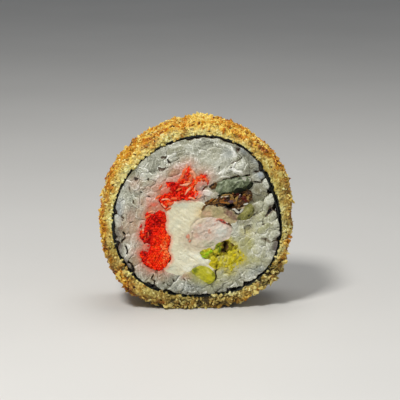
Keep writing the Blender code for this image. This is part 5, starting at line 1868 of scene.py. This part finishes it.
def settle(middle, bearing, half, radius, held, room):
    """Pushes overlapping grains apart, and back inside the rice, as three discs each."""
    count = len(middle)
    steps = np.array((-1.0, 0.0, 1.0))
    owner = np.repeat(np.arange(count), 3)
    size = np.repeat(radius, 3) * GRAIN_TIGHT
    reach = size[:, None] + size[None, :]
    apart = owner[:, None] != owner[None, :]
    for _ in range(GRAIN_ROUNDS):
        arms = steps[None, :, None] * (half[:, None] * circle(bearing))[:, None, :]
        discs = (middle[:, None, :] + arms).reshape(-1, 2)
        away = discs[:, None, :] - discs[None, :, :]
        gap = np.linalg.norm(away, axis=2)
        overlap = np.where(apart, np.maximum(0, reach - gap), 0)
        push = ((0.5 * overlap / np.maximum(gap, 1e-6))[:, :, None] * away).sum(1)
        lack = np.maximum(0, 0.8 * size - room.depth(discs))
        push = (push + lack[:, None] * room.inward(discs)).reshape(count, 3, 2)
        push[held] = 0
        middle = middle + 0.5 * push.sum(1) / 2
        turn = (arms[..., 0] * push[..., 1] - arms[..., 1] * push[..., 0]).sum(1)
        bearing = bearing + 0.5 * turn / np.maximum(2 * half ** 2, 0.4)
    return middle, bearing


def lie(spot, draw):
    """Which way a grain lies here, with the others of its zone or any way, and how long it is."""
    for *zone, bearing, share, longer in FLOWS:
        if draw.random() < share * blob(spot[None], *zone)[0] * 1.6:
            return math.radians(bearing + draw.normal(0, 10)), longer
    return draw.uniform(0, math.pi), 1.0


def half_run(grains):
    """Half of the straight part of each grain, as the face shows it."""
    return (grains[:, 4] - grains[:, 5]) / 2 * np.cos(grains[:, 3])


def scatter(room, area, draw, placed):
    """Grains spread over one face: rows of u, v, bearing, tilt, length, width."""
    grains = [[*row[:2], *map(math.radians, row[2:4]), *row[4:6]] for row in placed]
    filled = 0.0
    while filled < GRAIN_COVER * area:
        spot = draw.uniform(-GRID_REACH, GRID_REACH, 2)
        if room.depth(spot[None])[0] < GRAIN_ROOM:
            continue
        low = draw.random() < LOW_SHARE
        tilt = math.radians(abs(draw.normal(0, 25)) if low else draw.uniform(45, 85))
        bearing, longer = lie(spot, draw)
        small = 1 - 0.35 * smoothstep((SMALL_BELOW - spot[1]) / 3.0)
        length = GRAIN_LENGTH * draw.uniform(0.75, 1.12) * longer * small
        width = GRAIN_WIDTH * draw.uniform(0.80, 1.15) * small
        tilt = tilt if longer == 1.0 else 0.3 * tilt
        grains.append([*spot, bearing, tilt * draw.choice((-1, 1)), length, width])
        filled += width * (length - width) * math.cos(tilt) + math.pi * width ** 2 / 4
    grains = np.array(grains)
    held = np.arange(len(grains)) < len(placed)
    grains[:, :2], grains[:, 2] = settle(
        grains[:, :2], grains[:, 2], half_run(grains), grains[:, 5] / 2, held, room)
    return grains


Mosaic = namedtuple("Mosaic", "grain edge crack offset")


def mosaic(flat, grains, seed):
    """Which grain each face point is on, how far it is from the next, and how open that gap is."""
    warped = shaken(flat, seed, 0.30, 1.5, 61)
    along, half = circle(grains[:, 2]), half_run(grains)
    away = warped[:, None, :] - grains[None, :, :2]
    run = np.clip((away * along).sum(2), -half, half)
    distance = np.linalg.norm(away - run[:, :, None] * along, axis=2)
    distance = distance - (grains[:, 5] - GRAIN_WIDTH) / 2
    first, second = np.argpartition(distance, 1, axis=1)[:, :2].T
    rows = np.arange(len(flat))
    swap = distance[rows, first] > distance[rows, second]
    first, second = np.where(swap, second, first), np.where(swap, first, second)
    edge = 0.5 * (distance[rows, second] - distance[rows, first])
    pair = np.stack((np.minimum(first, second), np.maximum(first, second),
                     np.zeros(len(flat), int)), 1)
    return Mosaic(first, edge, hashed(pair, seed), flat - grains[first, :2])


def hollows(flat):
    """How deep the pits and the lines between grains of the front face are; the rice paints them
    dark as shade.
    """
    bent = shaken(flat, 17.0, 0.45, 1.4, 63)
    depth = blobs(bent, PITS)
    for amount, half_width, points in CREASES:
        depth = np.maximum(depth, amount * crease(bent, half_width, points))
    depth *= 0.75 + 0.45 * noise(lifted(flat, 17.0), 1.0, 65)
    bent = shaken(flat, 17.0, 0.12, 1.2, 63)
    for amount, corners in POCKETS:
        depth = np.maximum(depth, amount * inside(np.array(corners), bent))
    return depth


def ridges(flat):
    """How strongly each place is on a raised edge of a grain, painted bright as a highlight."""
    bent = shaken(flat, 19.0, 0.25, 1.4, 66)
    line = np.max([crease(bent, RIDGE_HALF, points) for points in RIDGES], axis=0)
    return line * (0.6 + 0.5 * noise(lifted(flat, 19.0), 1.0, 68))


def disc_rims(flat):
    """How much each place is on a smeared disc's rim, painted as a highlight, and on the line round
    it, painted as shade.
    """
    bent = shaken(flat, 23.0, 0.35, 2.6, 66)
    bright, dark = np.zeros((2, len(flat)))
    for u, v, half_width, half_height, turn, amount, side in DISCS:
        x, z = along_across(bent[:, 0] - u, bent[:, 1] - v, turn)
        x, z = x / half_width, z / half_height
        out = (np.hypot(x, z) - 1) * min(half_width, half_height)
        facing = np.cos(np.arctan2(z, x) - math.radians(side))
        share = amount * (0.35 + 0.65 * smoothstep(0.5 + 0.9 * facing))
        bright = np.maximum(bright, share * smoothstep(1 - np.abs(out) / DISC_RIM))
        dark = np.maximum(dark, share * smoothstep(1 - np.abs(out - 1.6 * DISC_RIM) / DISC_RIM))
    return bright * (0.85 + 0.5 * noise(lifted(flat, 23.0), 1.2, 68)), dark


def grain_body(unit, grain, rise, draw, side):
    """One cooked grain's points before the knife: a capsule, a little bent and uneven."""
    u, v, bearing, tilt, length, width = grain
    x = unit[:, 0]
    fuller = np.sqrt((1 - np.abs(x) ** 2.8 + 1e-4) / (1 - x ** 2 + 1e-4))
    body = unit * np.stack((np.full(len(x), length / 2), fuller * width / 2,
                            fuller * width / 2 * draw.uniform(0.86, 1.0)), 1)
    body[:, 2] += draw.uniform(-0.08, 0.12) * width * (x ** 2 - 0.4)
    body *= 1 + 0.10 * noise(body + draw.uniform(-90, 90, 3), 1.3, 90)[:, None]
    along = (math.cos(bearing) * math.cos(tilt), math.sin(tilt) * side,
             math.sin(bearing) * math.cos(tilt))
    return turned(body, along, draw.uniform(0, 6.28)) + (u, side * (HALF_DEPTH + rise), v)


def knife(body, cap, slope, side):
    """The grain's points with what stands over the cut pressed down to it."""
    height = side * body[:, 1] - HALF_DEPTH
    top = cap + (body[:, (0, 2)] - body[:, (0, 2)].mean(0)) @ slope
    cut = -CUT_SOFT * np.logaddexp(-height / CUT_SOFT, -top / CUT_SOFT)
    flattened = smoothstep((height - top) / 0.5)
    cut = cut + flattened * 0.06 * noise(body * (1, 0, 1), 0.7, 95)
    body[:, 1] = side * (HALF_DEPTH + cut)
    return body


def stains(flat, layout):
    """How much of each stain the rice has at each place."""
    out = {}
    clear = 1 - np.clip(disc_rims(flat)[0], 0, 1)
    for key, _ in RICE_STAINS:
        out[key] = blobs(flat, STAIN_SPOTS[key])
        if key in STAIN_REACH:
            sources, reach, amount = STAIN_REACH[key]
            loops = np.concatenate([layout.loops[name] for name in sources])
            out[key] = np.maximum(out[key], amount * smoothstep(1 - nearest(flat, loops) / reach))
        if key in OFF_DISCS:
            out[key] = out[key] * clear
    return out


def rim_gap(flat):
    """1 in the gap between the rice and the seaweed, which is sunk and painted dark as shade, 0
    inside it.
    """
    bearing = np.degrees(polar(flat)[0])
    wide = np.full(len(flat), RIM_GAP_LEAST)
    for middle, half_width, amount in RIM_GAPS:
        away = turned_from(bearing, middle)
        wide = np.maximum(wide, amount * smoothstep(2 - 2 * away / half_width))
    wide = wide * waves(lifted(flat, 3.0), RIM_GAP_WAVES, 0.9)
    return smoothstep(1.6 - wrap_room(flat) / np.maximum(wide, 0.02))


def rice_face(flat, gap_to_food, grains, side):
    """One face of the fused rice: how far it stands over the cut, its tone with painted highlights,
    its painted shade along the gaps and its painted shade in pits and by the seaweed, and two
    random numbers for each grain."""
    draw = np.random.default_rng(40 + side)
    cut = mosaic(flat, grains, 50 + side)
    smear = blobs(flat, SMEARED)
    crack = (0.25 + 0.75 * cut.crack) * (1 - 0.8 * smear)
    places = lifted(flat, 11.0 * side)

    def of_grain(lift, tilt):
        """Each grain's own lift, and the slope of its face."""
        lifts = draw.uniform(*lift, len(grains))[cut.grain]
        return lifts, (draw.normal(0, tilt, (len(grains), 2))[cut.grain] * cut.offset).sum(1)

    lift, slope = of_grain((-0.10, 0.06), 0.035)
    pressed = lift + slope * (1 - smear) - 0.40 * crack ** 2 * (1 - smoothstep(cut.edge / 0.30))
    lift, slope = of_grain((-0.35, 0.15), 0.10)
    dome = np.sqrt(1 - (1 - np.clip(cut.edge / 0.95, 0, 1)) ** 2)
    whole = lift + slope - (0.22 + 0.6 * cut.crack ** 3) * (1 - dome)
    whole += 0.35 * noise(places, 4.5, 94)
    flatness = blobs(flat, FLAT_CUT)
    height = whole + (pressed - whole) * smoothstep(1.4 * flatness)
    height += waves(places, RICE_WAVES) * (1 - 0.6 * smear) + 0.08 * noise(places, 0.5, 99)
    border = border_height(flat, side)
    height = border + (height - border) * smoothstep(0.15 + gap_to_food / 0.6)
    # The gap by the seaweed and the places of purple-grey painted shade are sunk as well
    gap = rim_gap(flat)
    height -= 0.9 * gap + 0.5 * blobs(flat, STAIN_SPOTS["violet_shade"])

    glow = draw.normal(0, 0.13, len(grains))[cut.grain] * (1 - 0.5 * smear)
    own = [hashed(np.stack((cut.grain,) * 3, -1), seed) for seed in (7, 9, 12)]
    # Painted highlight: a bright band just inside each grain's border
    rim = 0.50 * np.exp(-((cut.edge - 0.24) / 0.12) ** 2) * (1 - 0.8 * smear)
    rim = rim * np.clip(0.9 * own[0] + 0.3 + noise(places, 1.6, 93), 0, 1.2)
    tone = 0.46 + glow + rim + 0.06 * noise(places, 3.5, 96)
    # Painted light and shade on patches of the rice
    tone += blobs(flat, RICE_LIGHT) - blobs(flat, RICE_SHADE)
    pit, ridge, bright, dim = np.zeros((4, len(flat)))
    if side < 0:
        pit, ridge, (bright, dim) = hollows(flat), ridges(flat), disc_rims(flat)
    # Raised grain edges and disc rims are painted bright as highlights, and the line round each
    # disc dark as shade
    height = height + 0.16 * ridge + 0.14 * bright - 0.06 * dim - 0.9 * pit
    tone = tone + 0.34 * ridge + 0.50 * bright - 0.22 * dim
    # Painted shade along the gaps between grains, and in the pits and by the seaweed
    shade = crack ** 2 * (1 - smoothstep(cut.edge / 0.28)) * (0.45 - 0.12 * flatness)
    dark = smoothstep((pit - 0.18) / 0.25) * np.clip(0.9 * pit, 0.42, 0.9)
    dark = np.clip(np.maximum(dark, gap), 0, 0.9)
    return height, tone, np.maximum(shade, 0.0), dark, own[1], own[2]


def standing_grains(grains, placed, draw, side):
    """The grains that stand out of one face: rows of (grain, rise, tone, share of pink)."""
    if side > 0:
        loose = np.flatnonzero(blobs(grains[:, :2], FLAT_CUT) < 0.5)
        loose = draw.permutation(loose)[:LOOSE_GRAINS]
        return [(grains[i], draw.uniform(-1.1, -0.8), draw.normal(0.6, 0.12), 0.0) for i in loose]
    rows = [(grain, *row[6:]) for grain, row in zip(grains, placed)]
    return rows + [((u, v, math.radians(a), math.radians(b), c, d), *more)
                   for u, v, a, b, c, d, *more in STUCK]


def kept_inside(points):
    """The points with those past the rice's limit moved back to it."""
    flat = points[:, (0, 2)]
    angle, radius = polar(flat)
    share = np.minimum(1, rice_limit(angle) / np.maximum(radius, 1e-6))
    return lifted(WRAP_CENTRE + (flat - WRAP_CENTRE) * share[:, None], points[:, 1])


def rice(layout):
    """The fused rice with its grains pressed flat by the knife, and the grains that stand out."""
    paint = rice_paint()
    flat, tris, edge = region(layout, RICE)
    room, area = Room(edge, layout.loops.values()), 0.5 * np.abs(turns(flat, tris)).sum()
    gap_to_food = nearest(flat, edge[wrap_room(edge) > 0.3])
    heap, unit = Heap(), ball(16, 15)
    heights, marks = [], []
    for side in (-1, 1):
        draw = np.random.default_rng(5 + side)
        placed = PLACED if side < 0 else ()
        grains = scatter(room, area, draw, placed)
        height, *rest = rice_face(flat, gap_to_food, grains, side)
        heights.append(height)
        marks.append(rest)
        for grain, rise, tone, pink in standing_grains(grains, placed, draw, side):
            body = grain_body(unit[0], grain, rise, draw, side)
            body = knife(body, draw.uniform(0.15, 0.40), draw.normal(0, 0.06, 2), side)
            heap.add(body, unit[1], tone=tone, pink=pink)
    points = kept_inside(heap.points())
    heap.verts = [points]
    stained = stains(points[:, (0, 2)], layout)
    pink = np.concatenate(heap.attributes.pop("pink"))
    stained["pink"] = np.maximum(stained["pink"], pink)
    stained["coral"] = np.maximum(stained["coral"], 0.8 * (pink > 0.85))
    # Grains that sink below the cut face are painted darker as shade
    below = smoothstep((HALF_DEPTH - np.abs(points[:, 1]) - 0.2) / 1.0)
    grains = heap.piece("rice_grains", paint, deep=0.5 * below, pit=np.zeros(heap.count), **stained)
    verts, faces, rim = slab(flat, tris, -HALF_DEPTH - heights[0], HALF_DEPTH + heights[1])
    attributes = {}
    for key, value in stains(flat, layout).items():
        vary = 0.3 if key in ("pink", "coral", "lemon") else 0.8
        extra = EVERYWHERE.get(key, 0)
        front, back = (np.clip(value * (1 + vary * (own - 0.5)) + extra * (other > 0.68), 0, 1)
                       for *_, own, other in marks)
        attributes[key] = over_slab(front, rim, back)
    for key, front, back in zip(("tone", "deep", "pit"), *marks):
        attributes[key] = over_slab(front, rim, back)
    body = make_piece("rice_body", verts, faces, paint, attributes, sharp=RIM_SHARP)
    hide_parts("rice")


# Putting the scene together

add_camera()
add_stage()
coating()
seaweed()
layout = lay_out_face()
rice(layout)
roe(layout)
for name in FOODS:
    add_filling(name, layout)
torn_bits("eel_flakes", "eel_glazed", "eel_glaze", FLAKES_OF_EEL,
          (10.5, 5.4, 6.0, 1.5, 14, 20, 1.7,
           ("plain", "black", "plain", "plain", "plain", "gold", "black", "red")))
# Painted shadow under the eel skin
torn_bits("eel_shadow", "eel_shadow", "eel_skin", SHADOW_UNDER_EEL)
torn_bits("shrimp_bits", "shrimp", "shrimp", BITS_OF_SHRIMP)
torn_bits("roe_strands", "roe_strands", "roe", STRANDS_OF_ROE)
torn_bits("avocado_crumbs", "avocado_upper", "avocado", CRUMBS_OF_AVOCADO,
          (10.4, -14.2, 3.2, 2.2, -10, 40, 0.9, ("plain", "plain", "acid", "olive", "plain")),
          (8.2, -14.0, 1.8, 1.6, 0, 14, 1.1, ("pale", "pale", "pale", "plain")),
          (12.8, -13.6, 1.6, 3.2, 0, 14, 1.1, ("pale", "plain", "pale", "acid")),
          (9.8, -16.4, 3.0, 1.0, 0, 10, 1.1, ("pale", "plain")))
bpy.context.view_layer.update()
